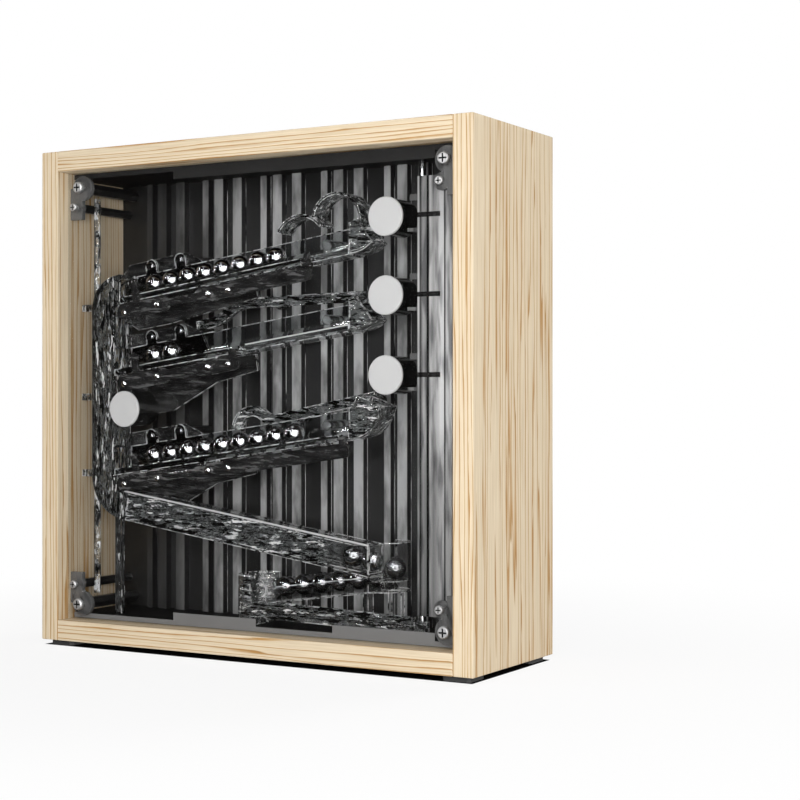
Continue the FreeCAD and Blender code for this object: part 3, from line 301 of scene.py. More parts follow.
def drawn_noise(tree, place, stretch, millimetres, detail, roughness=0.5, relief=None):
    """Noise of this spacing, drawn out along a piece.

    A relief of (shader, depth in millimetres, strength) presses it into the surface too.
    """
    drawn = add(tree, "ShaderNodeMapping", inputs={"Vector": place, "Scale": stretch})
    noise = add(
        tree, "ShaderNodeTexNoise",
        inputs={
            "Vector": drawn.outputs[0], "Scale": 1 / (millimetres * MM), "Detail": detail,
            "Roughness": roughness,
        },
    ).outputs["Fac"]
    if relief:
        shader, depth, strength = relief
        add(
            tree, "ShaderNodeBump",
            inputs={"Height": noise, "Distance": depth * MM, "Strength": strength},
            into=shader.inputs["Normal"],
        )
    return noise


def grit(tree, shader, place, millimetres, depth, low, high):
    """Fine unevenness: relief of the given depth, and roughness between low and high."""
    noise = drawn_noise(tree, place, EVENLY, millimetres, 3.0, relief=(shader, depth, 0.6))
    add(
        tree, "ShaderNodeMapRange",
        inputs={"Value": noise, "From Min": 0.3, "From Max": 0.7, "To Min": low, "To Max": high},
        into=shader.inputs["Roughness"],
    )
    return noise


def backdrop_rays(tree):
    """1 for rays from the camera, a glossy surface or clear plastic, which see the backdrop."""
    path = add(tree, "ShaderNodeLightPath")
    seen = path.outputs["Is Camera Ray"]
    for kind in ("Is Glossy Ray", "Is Transmission Ray"):
        seen = add(
            tree, "ShaderNodeMath", {"operation": "MAXIMUM"}, {0: seen, 1: path.outputs[kind]}
        ).outputs[0]
    return seen


# ---------------------------------------------------------------- materials
def ash_planed(along, colours, sizes):
    """Ash, planed and oiled: pale and nearly dull, with brown grain lines that run along the board."""
    material, tree, shader, place = new_material(
        "ash_planed_oiled_" + along, Roughness=0.55, IOR=1.5, Specular_IOR_Level=0.15
    )
    parts = add(tree, "ShaderNodeSeparateXYZ", inputs={0: place})
    across = "X" if along == "Z" else "Z"
    ordered = add(
        tree, "ShaderNodeCombineXYZ",
        inputs={"X": parts.outputs[across], "Y": parts.outputs["Y"], "Z": parts.outputs[along]},
    ).outputs[0]
    stretched = add(
        tree, "ShaderNodeMapping", inputs={"Vector": ordered, "Scale": ALONG_BOARD}
    ).outputs[0]
    sway = add(
        tree, "ShaderNodeTexNoise",
        inputs={"Vector": stretched, "Scale": 1 / (GRAIN_SWAY * MM), "Detail": 3.0, "Roughness": 0.6},
    )
    warp = add(
        tree, "ShaderNodeVectorMath", {"operation": "SCALE"},
        {0: sway.outputs["Color"], "Scale": GRAIN_WANDER * MM},
    )
    bent = add(
        tree, "ShaderNodeVectorMath", {"operation": "ADD"}, {0: ordered, 1: warp.outputs[0]}
    ).outputs[0]
    # The boards are sawn beside the heart of the log, so that its rings cross them as long lines.
    log = add(
        tree, "ShaderNodeMapping",
        inputs={"Vector": bent, "Location": (0.035, 0.06, 0.0), "Scale": ALONG_BOARD},
    ).outputs[0]
    rings = add(
        tree, "ShaderNodeTexWave",
        {"wave_type": "RINGS", "rings_direction": "Z", "wave_profile": "SAW"},
        {
            "Vector": log, "Scale": 2 * math.pi / (20 * sizes.grain), "Distortion": 0.8,
            "Detail": 2.0, "Detail Scale": 12.0, "Detail Roughness": 0.6,
        },
    ).outputs["Fac"]
    base = add(
        tree, "ShaderNodeValToRGB", inputs={"Fac": rings},
        stops=[
            (0.0, rgba(colours.ash)), (0.62, rgba(colours.ash, 0.95)),
            (0.84, rgba(colours.ash_grain)), (0.90, rgba(colours.ash_grain, 0.9)),
            (0.95, rgba(colours.ash)),
        ],
    )
    fibre = drawn_noise(
        tree, ordered, ALONG_FIBRE, WOOD_FIBRE, 4.0, relief=(shader, 0.12, 0.5)
    )
    fibre_tone = add(
        tree, "ShaderNodeValToRGB", inputs={"Fac": fibre},
        stops=[(0.3, (0.80, 0.74, 0.66, 1)), (0.6, (1, 1, 1, 1))],
    )
    add(
        tree, "ShaderNodeMix", {"data_type": "RGBA", "blend_type": "MULTIPLY"},
        {"Factor": 0.7, "A": base.outputs["Color"], "B": fibre_tone.outputs["Color"]},
        into=shader.inputs["Base Color"],
    )
    return material


def acrylic_smoked(name, colours, darkness):
    """Cast acrylic, smoked and laser cut: a dark see-through sheet with flame-bright faces."""
    material, tree, shader, place = new_material(
        name, Base_Color=rgba(colours.smoke), IOR=1.49, Alpha=darkness
    )
    grit(tree, shader, place, 20.0, 0.002, 0.02, 0.04)
    return material


def acrylic_clear(name, colour, roughness, ripple, streak=None, streak_end=None, body=1.0):
    """Acrylic, injection moulded and clear: dark edges and sharp glints from refraction.

    A streak of (x, y, z) stretch adds painted streaks along the piece: black for dark refraction and
    white for painted glints. They end at streak_end along X, where the wall is thin and polished so
    that balls show through.
    A body under 1 is a wall so thin and even that most of the view passes straight through.
    """
    material, tree, shader, place = new_material(
        name, Base_Color=rgba(colour), Roughness=roughness, IOR=1.49, Transmission_Weight=1.0,
        Alpha=body,
    )
    if streak:
        painted_streaks = drawn_noise(tree, place, streak, GLINT_STREAK, 4.0, 0.65)
        if streak_end is not None:
            right = add(tree, "ShaderNodeSeparateXYZ", inputs={0: place}).outputs["X"]
            polished = add(
                tree, "ShaderNodeMapRange",
                inputs={"Value": right, "From Min": streak_end, "From Max": streak_end + 0.003},
            ).outputs["Result"]
            painted_streaks = add(
                tree, "ShaderNodeMix", inputs={"Factor": polished, "A": painted_streaks, "B": 0.53}
            ).outputs[0]
            add(
                tree, "ShaderNodeMapRange",
                inputs={"Value": polished, "To Min": 1.0, "To Max": THIN_WALL},
                into=shader.inputs["Alpha"],
            )
        # Painted light: black streaks pass no light and white glints little, so they stay dark and
        # bright.
        for socket, stops in (
            ("Base Color", (grey(0.003), rgba(colour), rgba(colour), grey(0.9))),
            ("Transmission Weight", (grey(0.0), grey(1.0), grey(1.0), grey(0.1))),
        ):
            add(
                tree, "ShaderNodeValToRGB", inputs={"Fac": painted_streaks},
                stops=list(zip((0.44, 0.47, 0.60, 0.62), stops)), into=shader.inputs[socket],
            )
    drawn_noise(tree, place, EVENLY, SURFACE_RIPPLE, 5.0, 0.66, relief=(shader, ripple, 1.0))
    return material


def acrylic_edge(name, colours, stretch=EVENLY):
    """Acrylic edge, flame polished, with painted light: short white glints between painted black
    stretches.
    """
    material, tree, shader, place = new_material(name, Roughness=0.15, IOR=1.49)
    glint = drawn_noise(tree, place, stretch, EDGE_GLINT, 4.0, 0.7)
    add(
        tree, "ShaderNodeValToRGB", inputs={"Fac": glint},
        stops=[
            (0.42, rgba(colours.black, 0.3)), (0.48, rgba(colours.rib)), (0.53, rgba(colours.white)),
        ],
        into=shader.inputs["Base Color"],
    )
    return material


def acrylic_dark(name, colour, clearness):
    """Dark grey laser-cut acrylic, glossy and a little clear, with painted streaks of glint and shade.
    """
    material, tree, shader, place = new_material(
        name, Base_Color=rgba(colour), IOR=1.49, Transmission_Weight=clearness
    )
    grit(tree, shader, place, 3.0, 0.05, 0.05, 0.12)
    painted_streaks = drawn_noise(tree, place, SIDEWAYS, GLINT_STREAK, 4.0, 0.65)
    # Painted light: streaks darker and brighter than the tint, for glints and shade on the plate.
    add(
        tree, "ShaderNodeValToRGB", inputs={"Fac": painted_streaks},
        stops=[(0.40, rgba(colour, 0.25)), (0.56, rgba(colour, 0.8)), (0.62, rgba(colour, 2.4))],
        into=shader.inputs["Base Color"],
    )
    return material


def acrylic_frosted(name, colour):
    """Acrylic, blasted on its inner face: milky grey, with fine upright die lines."""
    material, tree, shader, place = new_material(
        name, Base_Color=rgba(colour, 0.5), IOR=1.49, Transmission_Weight=0.25, Roughness=0.2
    )
    drawn_noise(tree, place, ALONG_BOARD, DIE_LINE, 3.0, relief=(shader, 0.4, 1.0))
    return material


def acrylic_shaft(name, colour):
    """Frosted acrylic with painted light: upright bright and dark bands, shade low down, window
    shadows.
    """
    material = acrylic_frosted(name, colour)
    tree = material.node_tree
    place = add(tree, "ShaderNodeTexCoord").outputs["Object"]
    parts = add(tree, "ShaderNodeSeparateXYZ", inputs={0: place})
    share = add(
        tree, "ShaderNodeMapRange",
        inputs={
            "Value": parts.outputs["X"], "From Min": SHAFT_LEFT * MM, "From Max": SHAFT_RIGHT * MM
        },
    ).outputs["Result"]
    width = SHAFT_RIGHT - SHAFT_LEFT
    haze = drawn_noise(tree, place, ALONG_SHAFT, SHAFT_HAZE, 2.0)
    height = add(
        tree, "ShaderNodeMapRange",
        inputs={"Value": parts.outputs["Z"], "From Min": SHAFT_FOOT, "From Max": SHAFT_TOP},
    ).outputs["Result"]
    # Painted shadows: a dark band across the shaft at the height of each drop wheel's cap.
    window_shadows = 0.0
    for row in ROWS:
        low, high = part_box(row + "_cap")
        window = add(
            tree, "ShaderNodeMath", {"operation": "COMPARE"},
            {0: parts.outputs["Z"], 1: (low.z + high.z) / 2, 2: WINDOW_SHADOW_HALF * MM},
        )
        window_shadows = add(
            tree, "ShaderNodeMath", {"operation": "MAXIMUM"}, {0: window_shadows, 1: window.outputs[0]}
        ).outputs[0]
    inside = add(
        tree, "ShaderNodeMath", {"operation": "LESS_THAN"},
        {0: parts.outputs["X"], 1: WINDOW_RIGHT * MM},
    )
    window_shadows = add(
        tree, "ShaderNodeMath", {"operation": "MULTIPLY"}, {0: window_shadows, 1: inside.outputs[0]}
    ).outputs[0]
    # The tone is painted light times random milky haze: bands across, shade up the height, window
    # shadows.
    tone = None
    for fac, stops in (
        (share, [((x - SHAFT_LEFT) / width, grey(value)) for x, value in SHAFT_PAINTED_BANDS]),
        (haze, [(0.40, (0.4, 0.4, 0.41, 1)), (0.54, grey(1.0))]),
        (height, [(z, grey(value)) for z, value in SHAFT_PAINTED_SHADE]),
        (window_shadows, [(0.0, grey(1.0)), (1.0, grey(0.03))]),
    ):
        layer = add(tree, "ShaderNodeValToRGB", inputs={"Fac": fac}, stops=stops).outputs["Color"]
        if tone is None:
            tone = layer
        else:
            tone = add(
                tree, "ShaderNodeMix", {"data_type": "RGBA", "blend_type": "MULTIPLY"},
                {"Factor": 1.0, "A": tone, "B": layer},
            ).outputs["Result"]
    tree.links.new(tone, tree.nodes["Principled BSDF"].inputs["Base Color"])
    return material


def abs_ribbed(colours, sizes):
    """ABS sheet with upright ribs: grey satin rib faces, with painted shade between them and to the
    left.
    """
    material, tree, shader, place = new_material("abs_moulded_ribbed_back_painted_shade", IOR=1.53)
    grit(tree, shader, place, 0.9, 0.02, 0.35, 0.5)
    parts = add(tree, "ShaderNodeSeparateXYZ", inputs={0: place})
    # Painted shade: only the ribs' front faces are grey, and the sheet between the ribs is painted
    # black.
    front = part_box("back_plate")[0].y
    face = add(
        tree, "ShaderNodeMapRange",
        inputs={
            "Value": parts.outputs["Y"], "From Min": front + 0.0002, "From Max": front + 0.0006,
            "To Min": 1.0, "To Max": 0.0,
        },
    ).outputs["Result"]
    # Painted shade: the rib faces darken towards the left, down to black.
    side = add(
        tree, "ShaderNodeMapRange",
        inputs={
            "Value": parts.outputs["X"], "From Min": -sizes.painted_shade_darkest_at, "From Max": -sizes.painted_shade_ends_at,
            "To Min": 0.05, "To Max": 1.0,
        },
    ).outputs["Result"]
    blotch = drawn_noise(tree, place, ALONG_BLOTCH, RIB_BLOTCH, 3.0, 0.6)
    patchy = add(
        tree, "ShaderNodeMapRange",
        inputs={"Value": blotch, "From Min": 0.36, "From Max": 0.60, "To Min": 0.3, "To Max": 1.0},
    ).outputs["Result"]
    for share in (side, patchy):
        face = add(
            tree, "ShaderNodeMath", {"operation": "MULTIPLY"}, {0: face, 1: share}
        ).outputs[0]
    add(
        tree, "ShaderNodeMix", {"data_type": "RGBA"},
        {"Factor": face, "A": rgba(colours.black, 0.4), "B": rgba(colours.rib, 1.4)},
        into=shader.inputs["Base Color"],
    )
    return material


def abs_deck(name, colours, painted_front_light):
    """ABS sheet, moulded: black faces, with the faces towards the front painted grey as painted light.
    """
    material, tree, shader, place = new_material(name, IOR=1.53, Specular_IOR_Level=0.08)
    grit(tree, shader, place, 0.5, 0.015, 0.5, 0.65)
    facing = add(tree, "ShaderNodeTexCoord").outputs["Normal"]
    parts = add(tree, "ShaderNodeSeparateXYZ", inputs={0: facing})
    # Painted light: faces that look to the front are painted grey, by how much the deck is given.
    front = add(
        tree, "ShaderNodeMapRange",
        inputs={
            "Value": parts.outputs["Y"], "From Min": -0.8, "From Max": -0.4,
            "To Min": 1.0, "To Max": 0.0,
        },
    ).outputs["Result"]
    add(
        tree, "ShaderNodeMix", {"data_type": "RGBA"},
        {"Factor": front, "A": rgba(colours.black, 0.7), "B": rgba(colours.rib, painted_front_light)},
        into=shader.inputs["Base Color"],
    )
    return material


def plastic_moulded(name, colour, low, high):
    """Opaque plastic from a lightly sparked tool: an even colour with a soft broken sheen."""
    material, tree, shader, place = new_material(name, IOR=1.53)
    noise = grit(tree, shader, place, 0.35, 0.015, low, high)
    add(
        tree, "ShaderNodeValToRGB", inputs={"Fac": noise},
        stops=[(0.25, rgba(colour, 0.92)), (0.75, rgba(colour))], into=shader.inputs["Base Color"],
    )
    return material


def steel(name, code, low, high, millimetres):
    """Steel, from lapped to zinc plated: bright metal whose gloss is broken by its finish."""
    material, tree, shader, place = new_material(
        name, Metallic=1.0, Base_Color=rgba(linear(code))
    )
    grit(tree, shader, place, millimetres, 0.004, low, high)
    return material


def rubber_moulded(name):
    """Rubber, moulded: near black, dull, with a dusty bloom."""
    material, tree, shader, place = new_material(name, IOR=1.52)
    noise = grit(tree, shader, place, 0.5, 0.03, 0.65, 0.85)
    add(
        tree, "ShaderNodeValToRGB", inputs={"Fac": noise},
        stops=[(0.3, rgba(linear("#0E0E0E"))), (0.75, rgba(linear("#1E1E1D")))],
        into=shader.inputs["Base Color"],
    )
    return material


def solder_mask(colours):
    """Glass-epoxy board with green solder mask: glossy, with copper tracks showing as lines."""
    material, tree, shader, place = new_material(
        "epoxy_board_solder_mask", Roughness=0.3, IOR=1.55
    )
    upright = add(
        tree, "ShaderNodeMapping", inputs={"Vector": place, "Rotation": (math.pi / 2, 0, 0)}
    )
    add(
        tree, "ShaderNodeTexBrick", {"offset": 0.37},
        {
            "Vector": upright.outputs[0], "Color1": rgba(colours.mask),
            "Color2": rgba(colours.mask, 0.85), "Mortar": rgba(colours.mask, 1.9),
            "Scale": 1 / (COPPER_TRACK * MM), "Mortar Size": 0.02,
        },
        into=shader.inputs["Base Color"],
    )
    return material


def put_on(material, *names):
    """Gives CAD nodes a material."""
    for name in names:
        node = frame["nodes"][name]
        node.data.materials.clear()
        node.data.materials.append(material)


def ease_edges(width, *names):
    """Welds a CAD node's facets and rounds its sharp edges, without changing the mesh itself."""
    for name in names:
        node = frame["nodes"][name]
        weld = node.modifiers.new("weld", "WELD")
        weld.merge_threshold = SAME_POINT
        flat = node.modifiers.new("flat", "DECIMATE")
        flat.decimate_type = "DISSOLVE"
        flat.angle_limit = FLAT_ANGLE
        bevel = node.modifiers.new("bevel", "BEVEL")
        bevel.width = width
        bevel.segments = 2
        bevel.limit_method = "ANGLE"
        bevel.angle_limit = SHARP_ANGLE


# ---------------------------------------------------------------- mesh helpers
def islands(node):
    """Lowest and highest corner of each separate solid in a CAD node."""
    mesh = bmesh.new()
    mesh.from_mesh(frame["nodes"][node].data)
    bmesh.ops.remove_doubles(mesh, verts=mesh.verts, dist=SAME_POINT)
    seen = set()
    found = []
    for start in mesh.verts:
        if start in seen:
            continue
        stack = [start]
        seen.add(start)
        points = []
        while stack:
            vertex = stack.pop()
            points.append(vertex.co.copy())
            for edge in vertex.link_edges:
                other = edge.other_vert(vertex)
                if other not in seen:
                    seen.add(other)
                    stack.append(other)
        low = Vector([min(p[i] for p in points) for i in range(3)])
        high = Vector([max(p[i] for p in points) for i in range(3)])
        found.append((low, high))
    mesh.free()
    return sorted(found, key=lambda pair: tuple(round(v, 6) for v in pair[0]))


def object_from(name, mesh):
    """An object in the scene from a bmesh, which is freed."""
    data = bpy.data.meshes.new(name)
    mesh.to_mesh(data)
    mesh.free()
    made = bpy.data.objects.new(name, data)
    bpy.context.scene.collection.objects.link(made)
    return made


def piece_from(name, mesh, material, body, slot, *replaced):
    """A piece from a bmesh, which rides on a body and may stand for CAD nodes."""
    bmesh.ops.recalc_face_normals(mesh, faces=mesh.faces)
    piece = object_from(name, mesh)
    piece.data.materials.append(material)
    for face in piece.data.polygons:
        face.use_smooth = True
    piece.data.set_sharp_from_angle(angle=SMOOTH_ANGLE)
    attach(piece, body)
    if replaced:
        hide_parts(*replaced)
    return piece


def bead(node, slope, radius, material, share=1.0):
    """A white bead of painted highlight on a sloping channel's top front edge, over a share from the
    right.
    """
    low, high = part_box(node)
    along = Vector((math.cos(slope), 0, math.sin(slope)))
    above = Vector((-math.sin(slope), 0, math.cos(slope)))
    front = [v.co for v in frame["nodes"][node].data.vertices if v.co.y < low.y + 0.0003]
    corner = max((p for p in front if p.x > high.x - 0.0005), key=lambda p: p.dot(above))
    length = (high.x - low.x) / along.x * share
    centre = corner - along * length / 2
    turn = Matrix.Rotation(math.pi / 2 - slope, 4, "Y")
    mesh = bmesh.new()
    bmesh.ops.create_cone(
        mesh, cap_ends=True, segments=BEAD_SIDES, radius1=radius, radius2=radius, depth=length,
        matrix=Matrix.Translation(centre) @ turn,
    )
    piece_from(node + "_edge_bead", mesh, material, NODE_BODY[node], "clear_plastic")


def edge_lines(node, width, material, from_x=-math.inf):
    """Thin lines along a node's sharp edges right of from_x, which carry painted glints or painted
    dark.
    """
    source = bmesh.new()
    source.from_mesh(frame["nodes"][node].data)
    bmesh.ops.remove_doubles(source, verts=source.verts, dist=SAME_POINT)
    bmesh.ops.dissolve_limit(
        source, angle_limit=FLAT_ANGLE, verts=source.verts, edges=source.edges
    )
    mesh = bmesh.new()
    for edge in source.edges:
        if len(edge.link_faces) != 2 or edge.calc_face_angle(0) < SHARP_ANGLE:
            continue
        ends = [vertex.co.copy() for vertex in edge.verts]
        along = ends[1] - ends[0]
        if along.length < 0.0004 or min(end.x for end in ends) < from_x:
            continue
        inwards = -(edge.link_faces[0].normal + edge.link_faces[1].normal).normalized()
        if edge.is_convex:
            ends = [end + inwards * width * 0.6 for end in ends]
        side = along.normalized().cross(inwards)
        corners = [
            (inwards * a + side * b) * width / 2 for a, b in ((1, 0), (0, 1), (-1, 0), (0, -1))
        ]
        rings = [[mesh.verts.new(end + corner) for corner in corners] for end in ends]
        for k in range(4):
            mesh.faces.new((rings[0][k], rings[0][k - 3], rings[1][k - 3], rings[1][k]))
        mesh.faces.new(rings[0][::-1])
        mesh.faces.new(rings[1])
    source.free()
    piece_from(node + "_edge_lines", mesh, material, NODE_BODY[node], "clear_plastic")


def lathe(mesh, profile, sides, centre=(0, 0, 0)):
    """A turned form about Y from (radius, depth) points, closed where the radius is 0."""
    x, y, z = centre
    rings = []
    for radius, depth in profile:
        angles = [2 * math.pi * k / sides for k in range(sides if radius else 1)]
        rings.append([
            mesh.verts.new((x + radius * math.cos(a), y + depth, z + radius * math.sin(a)))
            for a in angles
        ])
    for first, second in zip(rings, rings[1:]):
        for k in range(sides):
            corners = [
                first[k % len(first)], first[(k + 1) % len(first)],
                second[(k + 1) % len(second)], second[k % len(second)],
            ]
            unique = list(dict.fromkeys(corners))
            if len(unique) > 2:
                mesh.faces.new(unique)


# ---------------------------------------------------------------- operators
class BuildCase(bpy.types.Operator):
    """Finish the four ash boards of the case and the rubber feet"""

    bl_idname = "ball_clock.case"
    bl_label = "Wooden case"

    def execute(self, context):
        colours = context.scene.clock_colours
        sizes = context.scene.clock_sizes
        put_on(ash_planed("Z", colours, sizes), *STILES)
        put_on(ash_planed("X", colours, sizes), *RAILS)
        put_on(rubber_moulded("rubber_die_cut_feet"), "rubber_feet")
        ease_edges(sizes.wood_edge, *BOARDS)
        return {"FINISHED"}


class BuildSheets(bpy.types.Operator):
    """Finish the smoked acrylic front panel, rear cover and decks"""

    bl_idname = "ball_clock.sheets"
    bl_label = "Smoked sheets"

    def execute(self, context):
        colours = context.scene.clock_colours
        put_on(acrylic_smoked("acrylic_smoked_cast_panel", colours, 0.1), "front_panel")
        put_on(acrylic_smoked("acrylic_smoked_cast_cover", colours, 0.55), "rear_cover")
        # The top deck's front takes far less painted light than the bottom deck's.
        put_on(abs_deck("abs_moulded_black_top_deck_painted_light", colours, 0.07), "top_deck")
        put_on(abs_deck("abs_moulded_black_bottom_deck_painted_light", colours, 0.7), "bottom_deck")
        put_on(abs_ribbed(colours, context.scene.clock_sizes), "back_plate")
        return {"FINISHED"}


class BuildChannels(bpy.types.Operator):
    """Finish the clear troughs, spouts, chute, ramp, pockets, lift shaft and corner plates"""

    bl_idname = "ball_clock.channels"
    bl_label = "Clear channels"

    def execute(self, context):
        colours = context.scene.clock_colours
        sizes = context.scene.clock_sizes
        clear = acrylic_clear("acrylic_moulded_clear", colours.clear, 0.02, 0.8, SIDEWAYS)
        tall = acrylic_clear("acrylic_moulded_clear_upright", colours.clear, 0.02, 0.5, UPRIGHT)
        smooth = acrylic_clear("acrylic_moulded_polished_clear", colours.clear, 0.01, 0.05)
        window = acrylic_clear("acrylic_moulded_thin_clear", colours.clear, 0.01, 0.2, body=THIN_WALL)
        polished_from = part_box("return_ramp")[1].x - POLISHED_END * MM
        ramp = acrylic_clear(
            "acrylic_moulded_clear_ramp", colours.clear, 0.01, 0.1, SIDEWAYS, polished_from
        )
        put_on(clear, *SPOUTS, "feed_channel", "guide_rails")
        put_on(ramp, "return_ramp")
        put_on(smooth, *TROUGHS)
        put_on(window, "reservoir_trough", "turn_pocket")
        put_on(tall, "return_chute", "chute_brackets")
        put_on(acrylic_frosted("acrylic_laser_cut_grey_plate", colours.rib), "corner_plates")
        put_on(acrylic_shaft("acrylic_moulded_frosted_shaft_painted_light", colours.frosted), "lift_shaft")
        put_on(acrylic_dark("acrylic_laser_cut_dark_plate", colours.lever, 0.5), "row_plates")
        edged = ("row_plates", "lift_shaft", "corner_plates", *CHANNELS)
        ease_edges(sizes.edge, *edged)
        glinting = acrylic_edge("acrylic_edge_painted_glints", colours)
        dark = plastic_moulded("acrylic_edge_in_shade", colours.black, 0.1, 0.2)
        rib_edge = acrylic_edge("abs_moulded_rib_edge_painted_glints", colours, ALONG_RIB)
        for name in edged:
            if name != "return_chute":
                edge_lines(name, sizes.edge_line, glinting)
        # Painted dark: the chute's edges get wide black lines, for the dark outline of a clear tube.
        edge_lines("return_chute", sizes.chute_line, dark)
        # Painted glints on the ribs' edges, only right of GLINTS_FROM.
        edge_lines("back_plate", sizes.edge_line, rib_edge, GLINTS_FROM * MM)
        # Painted highlight: white beads stand for the bright line along the ramp's and tens trough's
        # edges.
        painted_highlight = plastic_moulded("acrylic_bead_painted_highlight", colours.white, 0.4, 0.5)
        bead("return_ramp", RAMP_SLOPE, sizes.bead / 2, painted_highlight)
        bead("tens_trough", ROW_SLOPE, sizes.bead / 3, painted_highlight, TENS_BEAD)
        return {"FINISHED"}


class BuildLevers(bpy.types.Operator):
    """Finish the three release levers and their pins"""

    bl_idname = "ball_clock.levers"
    bl_label = "Release levers"

    def execute(self, context):
        colours = context.scene.clock_colours
        smoked = acrylic_dark("acrylic_laser_cut_dark_lever", colours.lever, 0.35)
        put_on(smoked, *LEVERS)
        ease_edges(context.scene.clock_sizes.edge, *LEVERS)
        steel_pin = steel("steel_turned_polished_pin", "#C4C4C6", 0.05, 0.1, 0.3)
        put_on(steel_pin, "lever_pins")
        for row in ROWS:
            self.domes(row, steel_pin)
        return {"FINISHED"}

    def domes(self, row, material):
        """Polished domes on a lever's rivets, and on the fixed pin that it tips on."""
        lever_low, lever_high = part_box(row + "_lever")
        pin = min(
            islands("lever_pins"),
            key=lambda pair: abs((pair[0].z + pair[1].z) / 2 - (lever_low.z + lever_high.z) / 2),
        )
        pivot = (pin[0] + pin[1]) / 2
        rivets = [
            (
                pivot.x + (along * math.cos(ROW_SLOPE) - above * math.sin(ROW_SLOPE)) * MM,
                lever_low.y,
                pivot.z + (along * math.sin(ROW_SLOPE) + above * math.cos(ROW_SLOPE)) * MM,
            )
            for along, above in RIVET_PLACES
        ]
        rivets = [place for place in rivets if lever_low.x + 0.001 < place[0] < lever_high.x - 0.001]
        for name, places, body in (
            ("_lever_rivets", rivets, NODE_BODY[row + "_lever"]),
            ("_pin_dome", [(pivot.x, pin[0].y, pivot.z)], NODE_BODY["lever_pins"]),
        ):
            mesh = bmesh.new()
            for place in places:
                lathe(mesh, DOME, DOME_SIDES, place)
            piece_from(row + name, mesh, material, body, "steel")


class BuildBalls(bpy.types.Operator):
    """Make the lapped steel balls in their places"""

    bl_idname = "ball_clock.balls"
    bl_label = "Steel balls"

    def execute(self, context):
        material = steel("bearing_steel_lapped", "#88888A", 0.02, 0.04, 0.8)
        for node in ("ones_balls", "tens_balls", "hours_balls", "reservoir_balls"):
            mesh = bmesh.new()
            for low, high in islands(node):
                radius = (high.z - low.z) / 2
                bmesh.ops.create_icosphere(
                    mesh, subdivisions=BALL_SUBDIVISIONS, radius=radius,
                    matrix=Matrix.Translation((low + high) / 2),
                )
            piece_from(node + "_lapped", mesh, material, NODE_BODY[node], "ball_steel", node)
        return {"FINISHED"}


class BuildWheels(bpy.types.Operator):
    """Finish the drop wheels, the brake wheel, their white caps and the motors"""

    bl_idname = "ball_clock.wheels"
    bl_label = "Drop wheels"

    def execute(self, context):
        colours = context.scene.clock_colours
        black = plastic_moulded("abs_moulded_black", colours.black, 0.25, 0.4)
        polished = plastic_moulded("abs_moulded_black_polished_drum", colours.black, 0.08, 0.16)
        white = plastic_moulded("abs_moulded_white_cap", colours.white, 0.45, 0.6)
        for name in ("ones", "tens", "hours", "brake"):
            put_on(polished, name + "_wheel")
            put_on(white, name + "_cap")
        put_on(acrylic_frosted("acrylic_moulded_milky_tab", colours.rib), "lift_tabs")
        put_on(steel("steel_drawn_motor_can", "#A7A8A8", 0.25, 0.4, 0.6), "wheel_motors", "lift_motor")
        put_on(black, "corner_posts", "trough_posts")
        return {"FINISHED"}


class BuildLift(bpy.types.Operator):
    """Finish the lift carriage, belt, pulleys and column"""

    bl_idname = "ball_clock.lift"
    bl_label = "Ball lift"

    def execute(self, context):
        put_on(acrylic_clear("acrylic_moulded_carriage", linear("#D8DBDC"), 0.03, 0.2), "lift_carriage")
        put_on(rubber_moulded("neoprene_moulded_belt"), "lift_belt")
        acetal = plastic_moulded("acetal_moulded_grey_pulley", linear("#77797A"), 0.3, 0.4)
        put_on(acetal, "top_pulley", "bottom_pulley")
        put_on(steel("stainless_drawn_rod", "#BFC0C1", 0.12, 0.22, 0.5), "lift_column")
        return {"FINISHED"}


